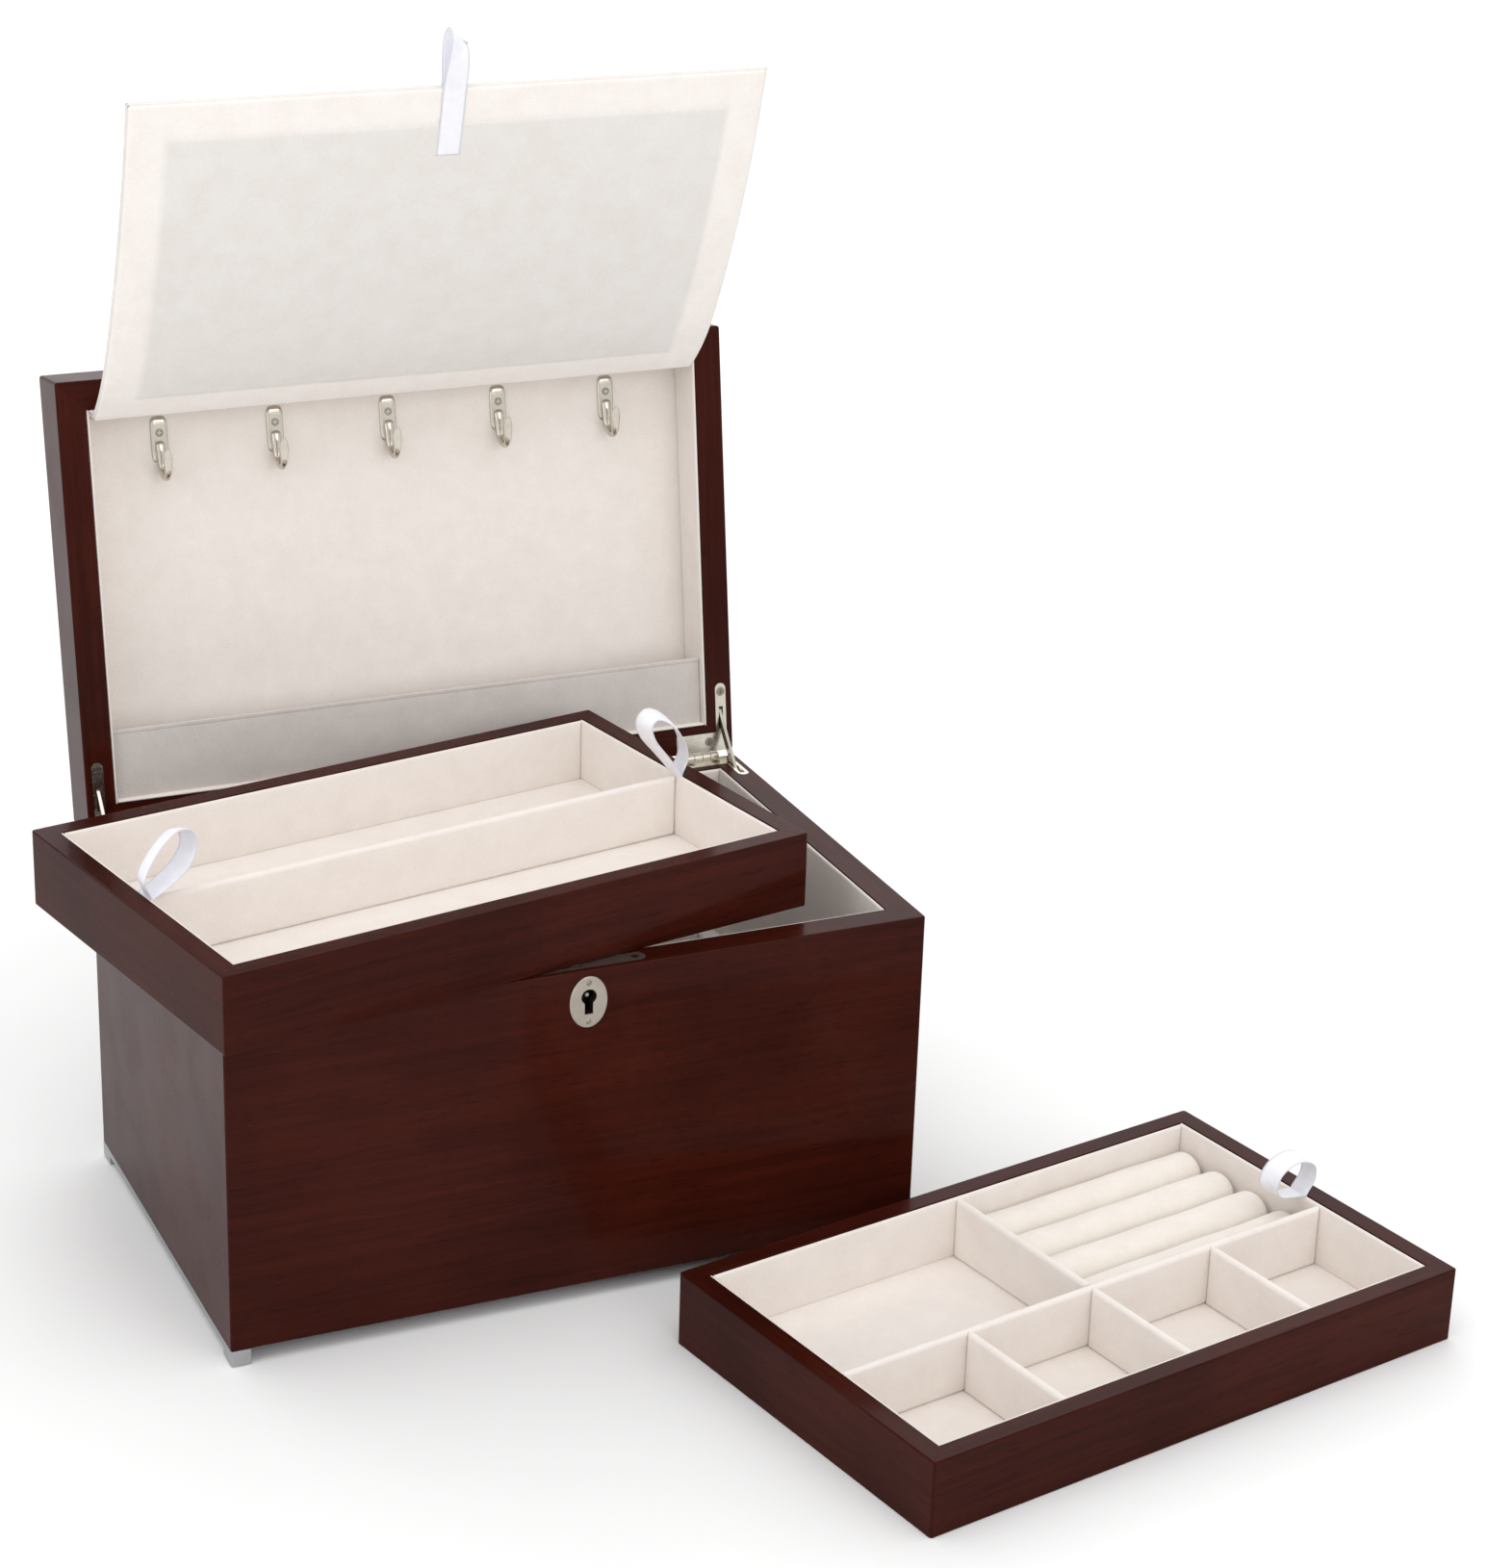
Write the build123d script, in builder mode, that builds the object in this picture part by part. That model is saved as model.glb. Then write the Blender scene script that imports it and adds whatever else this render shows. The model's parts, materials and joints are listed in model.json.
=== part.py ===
"""Jewellery chest with a stay-hinged lid, a necklace flap and two lift-out trays.

Millimetres. The origin is the centre of the chest's footprint on the table, +X runs
along the front to the right, +Y to the back and +Z up. The lid stands open on its stays,
the upper tray lies askew across the rim and the lower tray stands on the table.
"""

import os
from math import cos, degrees, radians, sin

from build123d import *

# Chest
chest_length = 330.0
chest_depth = 213.0
rim_height = 164.0
foot_lift = 8.0
wall = 13.5
panel_thickness = 6.0
panel_lip = 5.0
lining = 0.8
corner_round = 1.4
edge_round = 0.7
seat_gap = 0.05
mitre_kerf = 0.06
lining_drop = 0.3
soft_edge = 1.0
rest_board = 11.0
rest_board_top = 78.0

# Feet
rail_width = 9.0
rail_strip = 3.4
foot_length = 12.0
foot_round = 0.5
foot_screw_inset = 46.5
pad_thickness = 0.6
pad_inset = 1.0

# Lid, hinges and stays
lid_height = 30.0
lid_recess = 24.0
lid_open_angle = 98.4
hinge_setback = 2.3
barrel_radius = 2.1
hinge_pin_radius = 1.0
running_clearance = 0.05
knuckle_count = 5
knuckle_length = 4.1
knuckle_gap = 0.3
leaf_thickness = 1.3
leaf_width = 9.5
leaf_inner_x = 30.5
leaf_outer_x = 3.2
leaf_arm_width = 5.6
lid_arm_length = 34.5
box_arm_length = 26.0
leaf_screw_inset = 5.2
leaf_screw_reaches = (13.0, 26.5)
lid_arm_screw_reach = 32.5
stay_thickness = 1.5
stay_width = 4.0
stay_pin_radius = 1.0
stay_slot_width = 2.3
stay_lug = 0.8
stay_mortise_width = 4.6
stay_mortise_depth = 9.0
stay_top_reach = 23.4
stay_top_height = 4.0
stay_foot_forward = 17.8
stay_foot_drop = 4.5
box_mortise_reach = (-10.0, 8.0)
box_slot_reach = (-25.4, -10.0)
lid_mortise_reach = (-5.0, 11.0)
lid_slot_reach = (-1.5, 10.0)
stay_lug_width = 3.2

# Lock
lock_plate_length = 58.8
lock_plate_width = 8.2
lock_plate_thickness = 1.2
lock_screw_spacing = 49.2
lock_slot_length = 14.0
lock_slot_width = 3.2
lock_slot_x = -7.5
lock_case_length = 40.0
lock_case_width = 7.4
lock_case_height = 26.0
lock_case_wall = 0.8
lock_clearance = 0.3
bolt_length = 24.0
bolt_height = 5.0
bolt_width = 2.4
bolt_drop = 0.4
bolt_shift = 2.5
bolt_notch = (5.0, 3.0)
bolt_lug = 2.0
bolt_lug_rise = 1.4
bolt_lug_spacing = 6.0
bolt_travel = 3.5
spring_x = 6.5
spring_run = 11.0
spring_rise = 10.0
spring_sag = 1.0
spring_thickness = 0.4
spring_foot = (2.0, 4.4)
keyhole_drop = 12.4
keyhole_radius = 3.6
keyhole_slot_width = 4.0
keyhole_slot_depth = 8.3
keyhole_clearance = 0.3
case_keyhole_gap = 0.1
drill_pin_radius = 0.9
drill_pin_drop = 1.5
escutcheon_drop = 15.0
escutcheon_half_width = 8.9
escutcheon_half_height = 12.3
escutcheon_thickness = 1.0
escutcheon_chamfer = 0.35
escutcheon_pin_spacing = 18.5
escutcheon_pin_radius = 0.6
escutcheon_pin_depth = 2.2
escutcheon_pin_head = (1.3, 0.6)
strike_length = 36.0
strike_screw_spacing = 25.92
strike_hook_drop = 5.0
strike_hook_stem = 1.2
strike_hook_barb = 2.4
strike_hook_width = 2.2

# Lid fittings
pocket_height = 34.0
pocket_board = 2.0
pocket_recess = 4.0
hook_count = 5
hook_spacing = 56.2
hook_plate_length = 19.0
hook_plate_width = 8.4
hook_plate_thickness = 1.6
hook_top_inset = 11.2
hook_rod_radius = 1.7
hook_bend_radius = 5.0
hook_leg = 9.0
hook_rise = 11.0
hook_rod_overlap = 7.5
hook_rod_sink = 0.6
hook_tip_radius = 2.2
hook_screw_drop = 0.6
batten_thickness = 2.4
batten_height = 10.0
batten_drop = 0.6

# Necklace flap, a stiff card covered in suede
flap_length = 181.0
flap_thickness = 2.4
flap_side_gap = 1.6
flap_crease_gap = 0.6
flap_rise_angle = 41.0
flap_root_length = 45.0
flap_root_turn = 20.0
flap_tip_turn = 14.0

# Trays
tray_side_gap = 0.7
tray_end_gap = 2.7
tray_height = 36.0
tray_wall = 9.5
tray_base = 4.0
tray_base_lip = 4.0
tray_lining = 1.0
divider = 4.0
divider_drop = 1.0
divider_round = 1.2
tray_yaw = 11.0
upper_tray_x = -44.0
upper_tray_y = -15.0
lower_tray_x = 187.0
lower_tray_y = -219.0
row_divider_y = -14.0
small_compartments = 4
roll_count = 4
roll_gap = 1.6
roll_end_gap = 0.5
roll_round = 3.0

# Ribbons
ribbon_width = 11.0
ribbon_thickness = 0.5
loop_height = 30.0
loop_radius = 6.0
loop_lean = 12.0
short_loop_height = 17.0
short_loop_radius = 5.5
short_loop_leans = (3.0, 5.0)
ribbon_end_inset = 2.0
ribbon_foot_drop = 0.5
pull_front_leg = 33.0
pull_back_leg = 14.0
pull_loop_height = 23.5
pull_loop_radius = 3.6

# Screws: head radius, shank radius and length under the surface
leaf_screw = (2.2, 1.1, 9.0)
hook_screw = (1.9, 0.9, 5.5)
lock_screw = (1.9, 0.9, 8.0)
foot_screw = (2.6, 1.3, 10.0)
screw_clearance = 0.05
cross_width = 0.45
cross_depth = 0.7

# Everything below follows from the sizes above
half_length = chest_length / 2
half_depth = chest_depth / 2
inner_length = chest_length - 2 * wall - 2 * lining
inner_depth = chest_depth - 2 * wall - 2 * lining
hinge_y = half_depth + hinge_setback
tray_length = inner_length - 2 * tray_end_gap
tray_depth = inner_depth - 2 * tray_side_gap
tray_inner_length = tray_length - 2 * tray_wall - 2 * tray_lining
tray_inner_depth = tray_depth - 2 * tray_wall - 2 * tray_lining
floor_z = foot_lift + panel_thickness + lining
front_wall_y = -half_depth + wall / 2
keyhole_height = rim_height - keyhole_drop
escutcheon_height = rim_height - escutcheon_drop
leaf_arm_x = half_length - leaf_outer_x - leaf_arm_width / 2
leaf_start_x = half_length - leaf_inner_x

# The lid is drawn as if shut, in a frame whose XY plane is its rim face and whose +Z runs
# out through its top, and that frame is swung open about the hinge axis.
swing = radians(lid_open_angle)
rim_frame = Plane.XY.offset(rim_height)
lid_frame = Plane(
    origin=(0, hinge_y - hinge_y * cos(swing), rim_height + hinge_y * sin(swing)),
    x_dir=(1, 0, 0),
    z_dir=(0, sin(swing), cos(swing)),
)
upper_tray_frame = Plane(
    origin=(upper_tray_x, upper_tray_y, rim_height + seat_gap),
    x_dir=(cos(radians(tray_yaw)), sin(radians(tray_yaw)), 0),
    z_dir=(0, 0, 1),
)
lower_tray_frame = Plane(
    origin=(lower_tray_x, lower_tray_y, 0),
    x_dir=(cos(radians(tray_yaw)), sin(radians(tray_yaw)), 0),
    z_dir=(0, 0, 1),
)

os.makedirs("parts", exist_ok=True)


def write(piece, name):
    """Label one finished piece and write it to its own file."""
    piece.part.label = name
    export_step(piece.part, f"parts/{name}.step")


def side_plane(frame, x):
    """The plane across the frame at x: its own x runs to the back, its y up."""
    return Plane(origin=frame.from_local_coords((x, 0, 0)), x_dir=frame.y_dir, z_dir=frame.x_dir)


def seats(frame, points, height=0.0, facing=1):
    """Planes on the frame's surface at the points, with their normals out of the wood."""
    normal = frame.z_dir * facing
    return [
        Plane(origin=frame.from_local_coords((x, y, height)), x_dir=frame.x_dir, z_dir=normal)
        for x, y in points
    ]


def screws(places, size):
    """Countersunk cross-head screws, flush with their seats."""
    head, shank, length = size
    low = (Align.CENTER, Align.CENTER, Align.MAX)
    with Locations(*[place.location for place in places]):
        Cone(shank, head, head - shank, align=low)
        Cylinder(shank, length, align=low)
        Box(1.2 * head, cross_width, cross_depth, align=low, mode=Mode.SUBTRACT)
        Box(cross_width, 1.2 * head, cross_depth, align=low, mode=Mode.SUBTRACT)


def screw_holes(places, size):
    """The holes that those screws sit in, a hair larger."""
    head, shank, length = (value + screw_clearance for value in size)
    low = (Align.CENTER, Align.CENTER, Align.MAX)
    with Locations(*[place.location for place in places]):
        Cone(shank, head, head - shank, align=low, mode=Mode.SUBTRACT)
        Cylinder(shank, length, align=low, mode=Mode.SUBTRACT)


def wall_ring(frame, length, depth, thickness, height, rounding=corner_round):
    """The four walls of a box as one ring, with its outer corners and edges eased."""
    with BuildSketch(frame) as outline:
        RectangleRounded(length, depth, rounding)
        Rectangle(length - 2 * thickness, depth - 2 * thickness, mode=Mode.SUBTRACT)
    ring = extrude(outline.sketch, amount=height)
    ends = ring.faces().sort_by(Axis(frame.origin, frame.z_dir))
    fillet(ends[0].outer_wire().edges() + ends[-1].outer_wire().edges(), edge_round)


def panel_rabbet(frame, length, depth, thickness, lip, height):
    """A step along the inside of the walls that a panel is let into."""
    with BuildSketch(frame) as outline:
        Rectangle(length - 2 * thickness + 2 * lip, depth - 2 * thickness + 2 * lip)
    extrude(outline.sketch, amount=height, mode=Mode.SUBTRACT)


def keep_side(frame, side, length, depth, thickness, height):
    """Keep one wall of the ring, sawn off at 45 degrees at both ends."""
    reach = thickness + 1
    corner_x, corner_y = length / 2, depth / 2
    corners = {
        "front": [(-1, -1, -1), (1, -1, -1), (1, -1, reach), (-1, -1, reach)],
        "back": [(-1, 1, -1), (1, 1, -1), (1, 1, reach), (-1, 1, reach)],
        "left": [(-1, -1, -1), (-1, 1, -1), (-1, 1, reach), (-1, -1, reach)],
        "right": [(1, -1, -1), (1, 1, -1), (1, 1, reach), (1, -1, reach)],
    }[side]
    with BuildSketch(frame) as outline:
        with BuildLine():
            Polyline(*[(x * (corner_x - r), y * (corner_y - r)) for x, y, r in corners], close=True)
        make_face()
    extrude(outline.sketch, amount=height, mode=Mode.INTERSECT)


def cut_mitres(frame, length, depth, thickness, height):
    """Saw a ring into four separate boards with hairline mitres."""
    reach = thickness / 2
    with BuildSketch(frame) as kerfs:
        for x in (-1, 1):
            for y in (-1, 1):
                with Locations((x * (length / 2 - reach), y * (depth / 2 - reach))):
                    Rectangle(3 * thickness, mitre_kerf, rotation=45 * x * y)
    extrude(kerfs.sketch, amount=height, mode=Mode.SUBTRACT)


def leaf_outline(side, arm_length, grow=0.0):
    """An L-shaped hinge leaf: one arm along the back, one round-ended arm along the side."""
    back_arm = leaf_inner_x - leaf_outer_x
    round_y = half_depth - arm_length + leaf_arm_width / 2
    with Locations((side * (leaf_start_x + back_arm / 2), half_depth - leaf_width / 2)):
        Rectangle(back_arm + 2 * grow, leaf_width + 2 * grow)
    with Locations((side * leaf_arm_x, (half_depth + round_y) / 2)):
        Rectangle(leaf_arm_width + 2 * grow, half_depth - round_y)
    with Locations((side * leaf_arm_x, round_y)):
        Circle(leaf_arm_width / 2 + grow)


def hinge_cuts(frame, arm_length, facing, screw_points, mortise_ends):
    """Let both leaves into the rim, with a pocket behind each side arm for the stay."""
    with BuildSketch(frame) as leaves:
        for side in (-1, 1):
            leaf_outline(side, arm_length, grow=seat_gap)
    extrude(leaves.sketch, amount=-facing * leaf_thickness, mode=Mode.SUBTRACT)
    front, back = mortise_ends
    with BuildSketch(frame) as mortises:
        with Locations(*[(side * leaf_arm_x, (front + back) / 2) for side in (-1, 1)]):
            Rectangle(stay_mortise_width, back - front)
    deep = leaf_thickness + stay_mortise_depth
    extrude(mortises.sketch, amount=-facing * deep, mode=Mode.SUBTRACT)
    screw_holes(seats(frame, screw_points, facing=facing), leaf_screw)


def hinge_leaf(frame, side, arm_length, facing, own_knuckles, screw_points, slot_ends):
    """One leaf: the plate, its knuckles and the slot that the stay passes through."""
    front, back = slot_ends
    with BuildSketch(frame) as plate:
        leaf_outline(side, arm_length)
        with Locations((side * leaf_arm_x, (front + back) / 2)):
            Rectangle(stay_slot_width, back - front, mode=Mode.SUBTRACT)
    extrude(plate.sketch, amount=-facing * leaf_thickness)
    pitch = knuckle_length + knuckle_gap
    for index in own_knuckles:
        start = side * (leaf_start_x + index * pitch)
        with BuildSketch(side_plane(frame, start)) as knuckle:
            with Locations((hinge_y, 0)):
                Circle(barrel_radius)
            with Locations(((half_depth + hinge_y) / 2, -facing * leaf_thickness / 2)):
                Rectangle(hinge_setback, leaf_thickness)
        extrude(knuckle.sketch, amount=side * knuckle_length)
    bore_end = knuckle_length / 2
    with BuildSketch(side_plane(frame, side * (leaf_start_x - bore_end))) as bore:
        with Locations((hinge_y, 0)):
            Circle(hinge_pin_radius + running_clearance)
    extrude(
        bore.sketch, amount=side * (knuckle_count * pitch + 2 * bore_end), mode=Mode.SUBTRACT
    )
    screw_holes(seats(frame, screw_points, facing=facing), leaf_screw)


def keyhole_outline(grow=0.0):
    """A round hole over a straight slot, about the keyhole's centre."""
    Circle(keyhole_radius + grow)
    with Locations((0, -keyhole_slot_depth / 2)):
        Rectangle(keyhole_slot_width + 2 * grow, keyhole_slot_depth + 2 * grow)


def ribbon_loop(plane, x, z, lean, height, radius):
    """A sewn ribbon loop in the plane: two legs that rise from one point to a round top."""
    top_x, top_z = x + lean, z + height - radius
    with BuildSketch(plane) as loop:
        with BuildLine():
            rise = Line((x, z), (top_x - radius, top_z))
            bow = ThreePointArc(rise @ 1, (top_x, top_z + radius), (top_x + radius, top_z))
            Line(bow @ 1, (x, z))
        make_face()
        offset(amount=-ribbon_thickness, mode=Mode.SUBTRACT)
    extrude(loop.sketch, amount=ribbon_width / 2, both=True)


# ---------------------------------------------------------------- chest carcase

box_frame = Plane.XY.offset(foot_lift)
box_height = rim_height - foot_lift
leaf_screw_y = half_depth - leaf_screw_inset
box_screws = [
    (side * (half_length - reach), leaf_screw_y) for reach in leaf_screw_reaches for side in (-1, 1)
]
stay_foot_y = hinge_y - stay_foot_forward
box_mortise = [stay_foot_y + reach for reach in box_mortise_reach]
box_slot = [hinge_y + reach for reach in box_slot_reach]
foot_screw_y = half_depth - foot_screw_inset
foot_screw_points = [
    (side * (half_length - rail_width / 2), y) for side in (-1, 1) for y in (-foot_screw_y, foot_screw_y)
]
foot_seats = seats(Plane.XY, foot_screw_points, height=foot_lift - rail_strip, facing=-1)

for side_name in ("front", "back", "left", "right"):
    with BuildPart() as chest_wall:
        wall_ring(box_frame, chest_length, chest_depth, wall, box_height)
        panel_rabbet(box_frame, chest_length, chest_depth, wall, panel_lip, panel_thickness)
        keep_side(box_frame, side_name, chest_length, chest_depth, wall, box_height)
        if side_name == "front":
            with BuildSketch(rim_frame):
                with Locations((0, front_wall_y)):
                    SlotOverall(lock_plate_length + 2 * seat_gap, lock_plate_width + 2 * seat_gap)
            extrude(amount=-lock_plate_thickness, mode=Mode.SUBTRACT)
            with BuildSketch(rim_frame):
                with Locations((0, front_wall_y)):
                    Rectangle(lock_case_length + 2 * lock_clearance, lock_case_width + 2 * lock_clearance)
            extrude(
                amount=-(lock_plate_thickness + lock_case_height + lock_clearance), mode=Mode.SUBTRACT
            )
            with BuildSketch(Plane.XZ.offset(half_depth)):
                with Locations((0, keyhole_height)):
                    keyhole_outline(grow=keyhole_clearance)
            extrude(amount=-wall / 2, mode=Mode.SUBTRACT)
            lock_seats = seats(
                rim_frame, [(side * lock_screw_spacing / 2, front_wall_y) for side in (-1, 1)]
            )
            screw_holes(lock_seats, lock_screw)
            pin_points = [escutcheon_height + side * escutcheon_pin_spacing / 2 for side in (-1, 1)]
            with BuildSketch(Plane.XZ.offset(half_depth)):
                with Locations(*[(0, z) for z in pin_points]):
                    Circle(escutcheon_pin_radius + seat_gap)
            extrude(amount=-(escutcheon_pin_depth + 2 * seat_gap), mode=Mode.SUBTRACT)
        if side_name in ("back", "left", "right"):
            hinge_cuts(rim_frame, box_arm_length, 1, box_screws, box_mortise)
        if side_name in ("left", "right"):
            screw_holes(foot_seats, foot_screw)
    write(chest_wall, f"chest_{side_name}_wall")

with BuildPart() as chest_bottom_panel:
    with BuildSketch(box_frame):
        inset = 2 * (wall - panel_lip + seat_gap)
        Rectangle(chest_length - inset, chest_depth - inset)
    extrude(amount=panel_thickness)
write(chest_bottom_panel, "chest_bottom_panel")

with BuildPart() as chest_floor_liner:
    with BuildSketch(box_frame.offset(panel_thickness)):
        Rectangle(chest_length - 2 * wall - 2 * seat_gap, chest_depth - 2 * wall - 2 * seat_gap)
    extrude(amount=lining)
write(chest_floor_liner, "chest_floor_liner")

liner_frame = Plane.XY.offset(floor_z + seat_gap)
liner_height = rim_height - lining_drop - floor_z - seat_gap
with BuildPart() as chest_wall_liners:
    lined_length, lined_depth = inner_length + 2 * lining, inner_depth + 2 * lining
    with BuildSketch(liner_frame):
        Rectangle(lined_length - 2 * seat_gap, lined_depth - 2 * seat_gap)
        Rectangle(inner_length, inner_depth, mode=Mode.SUBTRACT)
    extrude(amount=liner_height)
    cut_mitres(liner_frame, lined_length, lined_depth, lining, liner_height)
write(chest_wall_liners, "chest_wall_liners")

with BuildPart() as tray_rest_boards:
    with BuildSketch(liner_frame):
        with Locations(*[(side * (inner_length - rest_board) / 2, 0) for side in (-1, 1)]):
            Rectangle(rest_board - 2 * seat_gap, inner_depth - 2 * seat_gap)
    extrude(amount=rest_board_top - floor_z)
    tops = tray_rest_boards.faces().sort_by(Axis.Z)[-2:]
    fillet(tops.edges().filter_by(Axis.Y), soft_edge)
write(tray_rest_boards, "tray_rest_boards")

# ---------------------------------------------------------------- feet

for side, side_name in ((-1, "left"), (1, "right")):
    rail_x = side * (half_length - rail_width / 2)
    with BuildPart() as foot_rail:
        with BuildSketch(box_frame):
            with Locations((rail_x, 0)):
                Rectangle(rail_width, chest_depth)
        extrude(amount=-rail_strip)
        with BuildSketch(box_frame):
            foot_y = half_depth - foot_length / 2
            with Locations((rail_x, -foot_y), (rail_x, foot_y)):
                Rectangle(rail_width, foot_length)
        extrude(amount=-(foot_lift - pad_thickness))
        upright = foot_rail.edges().filter_by(Axis.Z)
        fillet([edge for edge in upright if abs(abs(edge.center().Y) - half_depth) < 0.01], foot_round)
        screw_holes(foot_seats, foot_screw)
    write(foot_rail, f"foot_rail_{side_name}")

with BuildPart() as foot_screws:
    screws(foot_seats, foot_screw)
write(foot_screws, "foot_screws")

with BuildPart() as foot_pads:
    with BuildSketch():
        with GridLocations(chest_length - rail_width, chest_depth - foot_length, 2, 2):
            RectangleRounded(rail_width - 2 * pad_inset, foot_length - 2 * pad_inset, pad_inset)
    extrude(amount=pad_thickness)
write(foot_pads, "foot_pads")

# ---------------------------------------------------------------- lock

plate_seat = rim_height - lock_plate_thickness
with BuildPart() as lock_plate:
    with BuildSketch(rim_frame):
        with Locations((0, front_wall_y)):
            SlotOverall(lock_plate_length, lock_plate_width)
        with Locations((lock_slot_x, front_wall_y)):
            Rectangle(lock_slot_length, lock_slot_width, mode=Mode.SUBTRACT)
    extrude(amount=-lock_plate_thickness)
    screw_holes(lock_seats, lock_screw)
write(lock_plate, "lock_plate")

with BuildPart() as lock_screws:
    screws(lock_seats, lock_screw)
write(lock_screws, "lock_screws")

case_inner_width = lock_case_width - 2 * lock_case_wall
with BuildPart() as lock_case:
    with BuildSketch(Plane.XY.offset(plate_seat - lock_case_height)):
        with Locations((0, front_wall_y)):
            Rectangle(lock_case_length, lock_case_width)
    extrude(amount=lock_case_height)
    with BuildSketch(Plane.XY.offset(plate_seat - lock_case_height + lock_case_wall)):
        with Locations((0, front_wall_y)):
            Rectangle(lock_case_length - 2 * lock_case_wall, case_inner_width)
    extrude(amount=lock_case_height, mode=Mode.SUBTRACT)
    with BuildSketch(Plane.XZ.offset(-front_wall_y + lock_case_width)):
        with Locations((0, keyhole_height)):
            keyhole_outline(grow=case_keyhole_gap)
    extrude(amount=-lock_case_width, mode=Mode.SUBTRACT)
    with BuildSketch(Plane.XZ.offset(-front_wall_y)):
        with Locations((0, keyhole_height)):
            Circle(drill_pin_radius + seat_gap)
    extrude(amount=-lock_case_width, mode=Mode.SUBTRACT)
write(lock_case, "lock_case")

with BuildPart() as lock_drill_pin:
    with BuildSketch(Plane.XZ.offset(-front_wall_y - lock_case_width / 2)):
        with Locations((0, keyhole_height)):
            Circle(drill_pin_radius)
    extrude(amount=half_depth + front_wall_y + lock_case_width / 2 - drill_pin_drop)
write(lock_drill_pin, "lock_drill_pin")

bolt_top = plate_seat - bolt_drop
bolt_x = lock_slot_x + bolt_shift
with BuildPart() as lock_bolt:
    with BuildSketch(Plane.XZ.offset(-front_wall_y - bolt_width / 2)):
        with Locations((bolt_x, bolt_top - bolt_height / 2)):
            Rectangle(bolt_length, bolt_height)
        with Locations((0, bolt_top - bolt_height)):
            Rectangle(*bolt_notch, mode=Mode.SUBTRACT)
        for lug_offset in (-bolt_lug_spacing / 2, bolt_lug_spacing / 2):
            with Locations((lock_slot_x + lug_offset - bolt_travel / 2, bolt_top)):
                Rectangle(bolt_lug, 2 * bolt_lug_rise)
    extrude(amount=bolt_width)
write(lock_bolt, "lock_bolt")

spring_low = (spring_x, plate_seat - lock_case_height + lock_case_wall + spring_foot[1])
spring_high = (spring_x + spring_run, spring_low[1] + spring_rise)
with BuildPart() as lock_spring:
    with BuildSketch(Plane.XZ.offset(-front_wall_y - bolt_width / 2)):
        with BuildLine():
            lower = SagittaArc(spring_low, spring_high, -spring_sag)
            up = Vector(0, spring_thickness)
            upper = SagittaArc(lower @ 1 + up, lower @ 0 + up, spring_sag)
            Line(lower @ 1, upper @ 0)
            Line(upper @ 1, lower @ 0)
        make_face()
        with Locations((spring_x, spring_low[1] - spring_foot[1] / 2 + spring_thickness / 2)):
            Rectangle(spring_foot[0], spring_foot[1] + spring_thickness)
    extrude(amount=bolt_width)
write(lock_spring, "lock_spring")

with BuildPart() as escutcheon:
    with BuildSketch(Plane.XZ.offset(half_depth)):
        with Locations((0, escutcheon_height)):
            Ellipse(escutcheon_half_width, escutcheon_half_height)
    extrude(amount=escutcheon_thickness)
    chamfer(escutcheon.faces().sort_by(Axis.Y)[0].edges(), escutcheon_chamfer)
    with BuildSketch(Plane.XZ.offset(half_depth)):
        with Locations((0, keyhole_height)):
            keyhole_outline()
        with Locations(*[(0, z) for z in pin_points]):
            Circle(escutcheon_pin_radius + seat_gap)
    extrude(amount=escutcheon_thickness, mode=Mode.SUBTRACT)
write(escutcheon, "escutcheon")

with BuildPart() as escutcheon_pins:
    head_radius, head_height = escutcheon_pin_head
    for z in pin_points:
        with BuildSketch(Plane.XZ.offset(half_depth - escutcheon_pin_depth)):
            with Locations((0, z)):
                Circle(escutcheon_pin_radius)
        extrude(amount=escutcheon_pin_depth + escutcheon_thickness)
        with BuildSketch(Plane.XZ.offset(half_depth + escutcheon_thickness)):
            with Locations((0, z)):
                Circle(head_radius)
        extrude(amount=head_height, taper=35)
write(escutcheon_pins, "escutcheon_pins")

# ---------------------------------------------------------------- hinges and stays

lid_screw_points = [
    (side * (half_length - leaf_screw_reaches[0]), leaf_screw_y) for side in (-1, 1)
] + [(side * leaf_arm_x, hinge_y - lid_arm_screw_reach) for side in (-1, 1)]
stay_top_y = hinge_y - stay_top_reach
lid_mortise = [stay_top_y + reach for reach in lid_mortise_reach]
lid_slot = [stay_top_y + reach for reach in lid_slot_reach]
all_knuckles = range(knuckle_count)

for side, side_name in ((-1, "left"), (1, "right")):
    own_box_screws = [point for point in box_screws if point[0] * side > 0]
    own_lid_screws = [point for point in lid_screw_points if point[0] * side > 0]
    with BuildPart() as hinge_box_leaf:
        hinge_leaf(rim_frame, side, box_arm_length, 1, all_knuckles[::2], own_box_screws, box_slot)
    write(hinge_box_leaf, f"hinge_box_leaf_{side_name}")

    with BuildPart() as hinge_lid_leaf:
        hinge_leaf(lid_frame, side, lid_arm_length, -1, all_knuckles[1::2], own_lid_screws, lid_slot)
        lug_reach = stay_mortise_width / 2 - seat_gap
        for lug_side in (-1, 1):
            outer_x = side * leaf_arm_x + lug_side * lug_reach
            with BuildSketch(side_plane(lid_frame, outer_x)):
                with Locations((stay_top_y, (leaf_thickness + stay_top_height) / 2)):
                    Rectangle(stay_lug_width, stay_top_height - leaf_thickness + seat_gap)
                with Locations((stay_top_y, stay_top_height)):
                    Circle(stay_lug_width / 2)
            extrude(amount=-lug_side * stay_lug)
        with BuildSketch(side_plane(lid_frame, side * leaf_arm_x)):
            with Locations((stay_top_y, stay_top_height)):
                Circle(stay_pin_radius)
        extrude(amount=lug_reach - stay_lug / 2, both=True)
    write(hinge_lid_leaf, f"hinge_lid_leaf_{side_name}")

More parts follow.
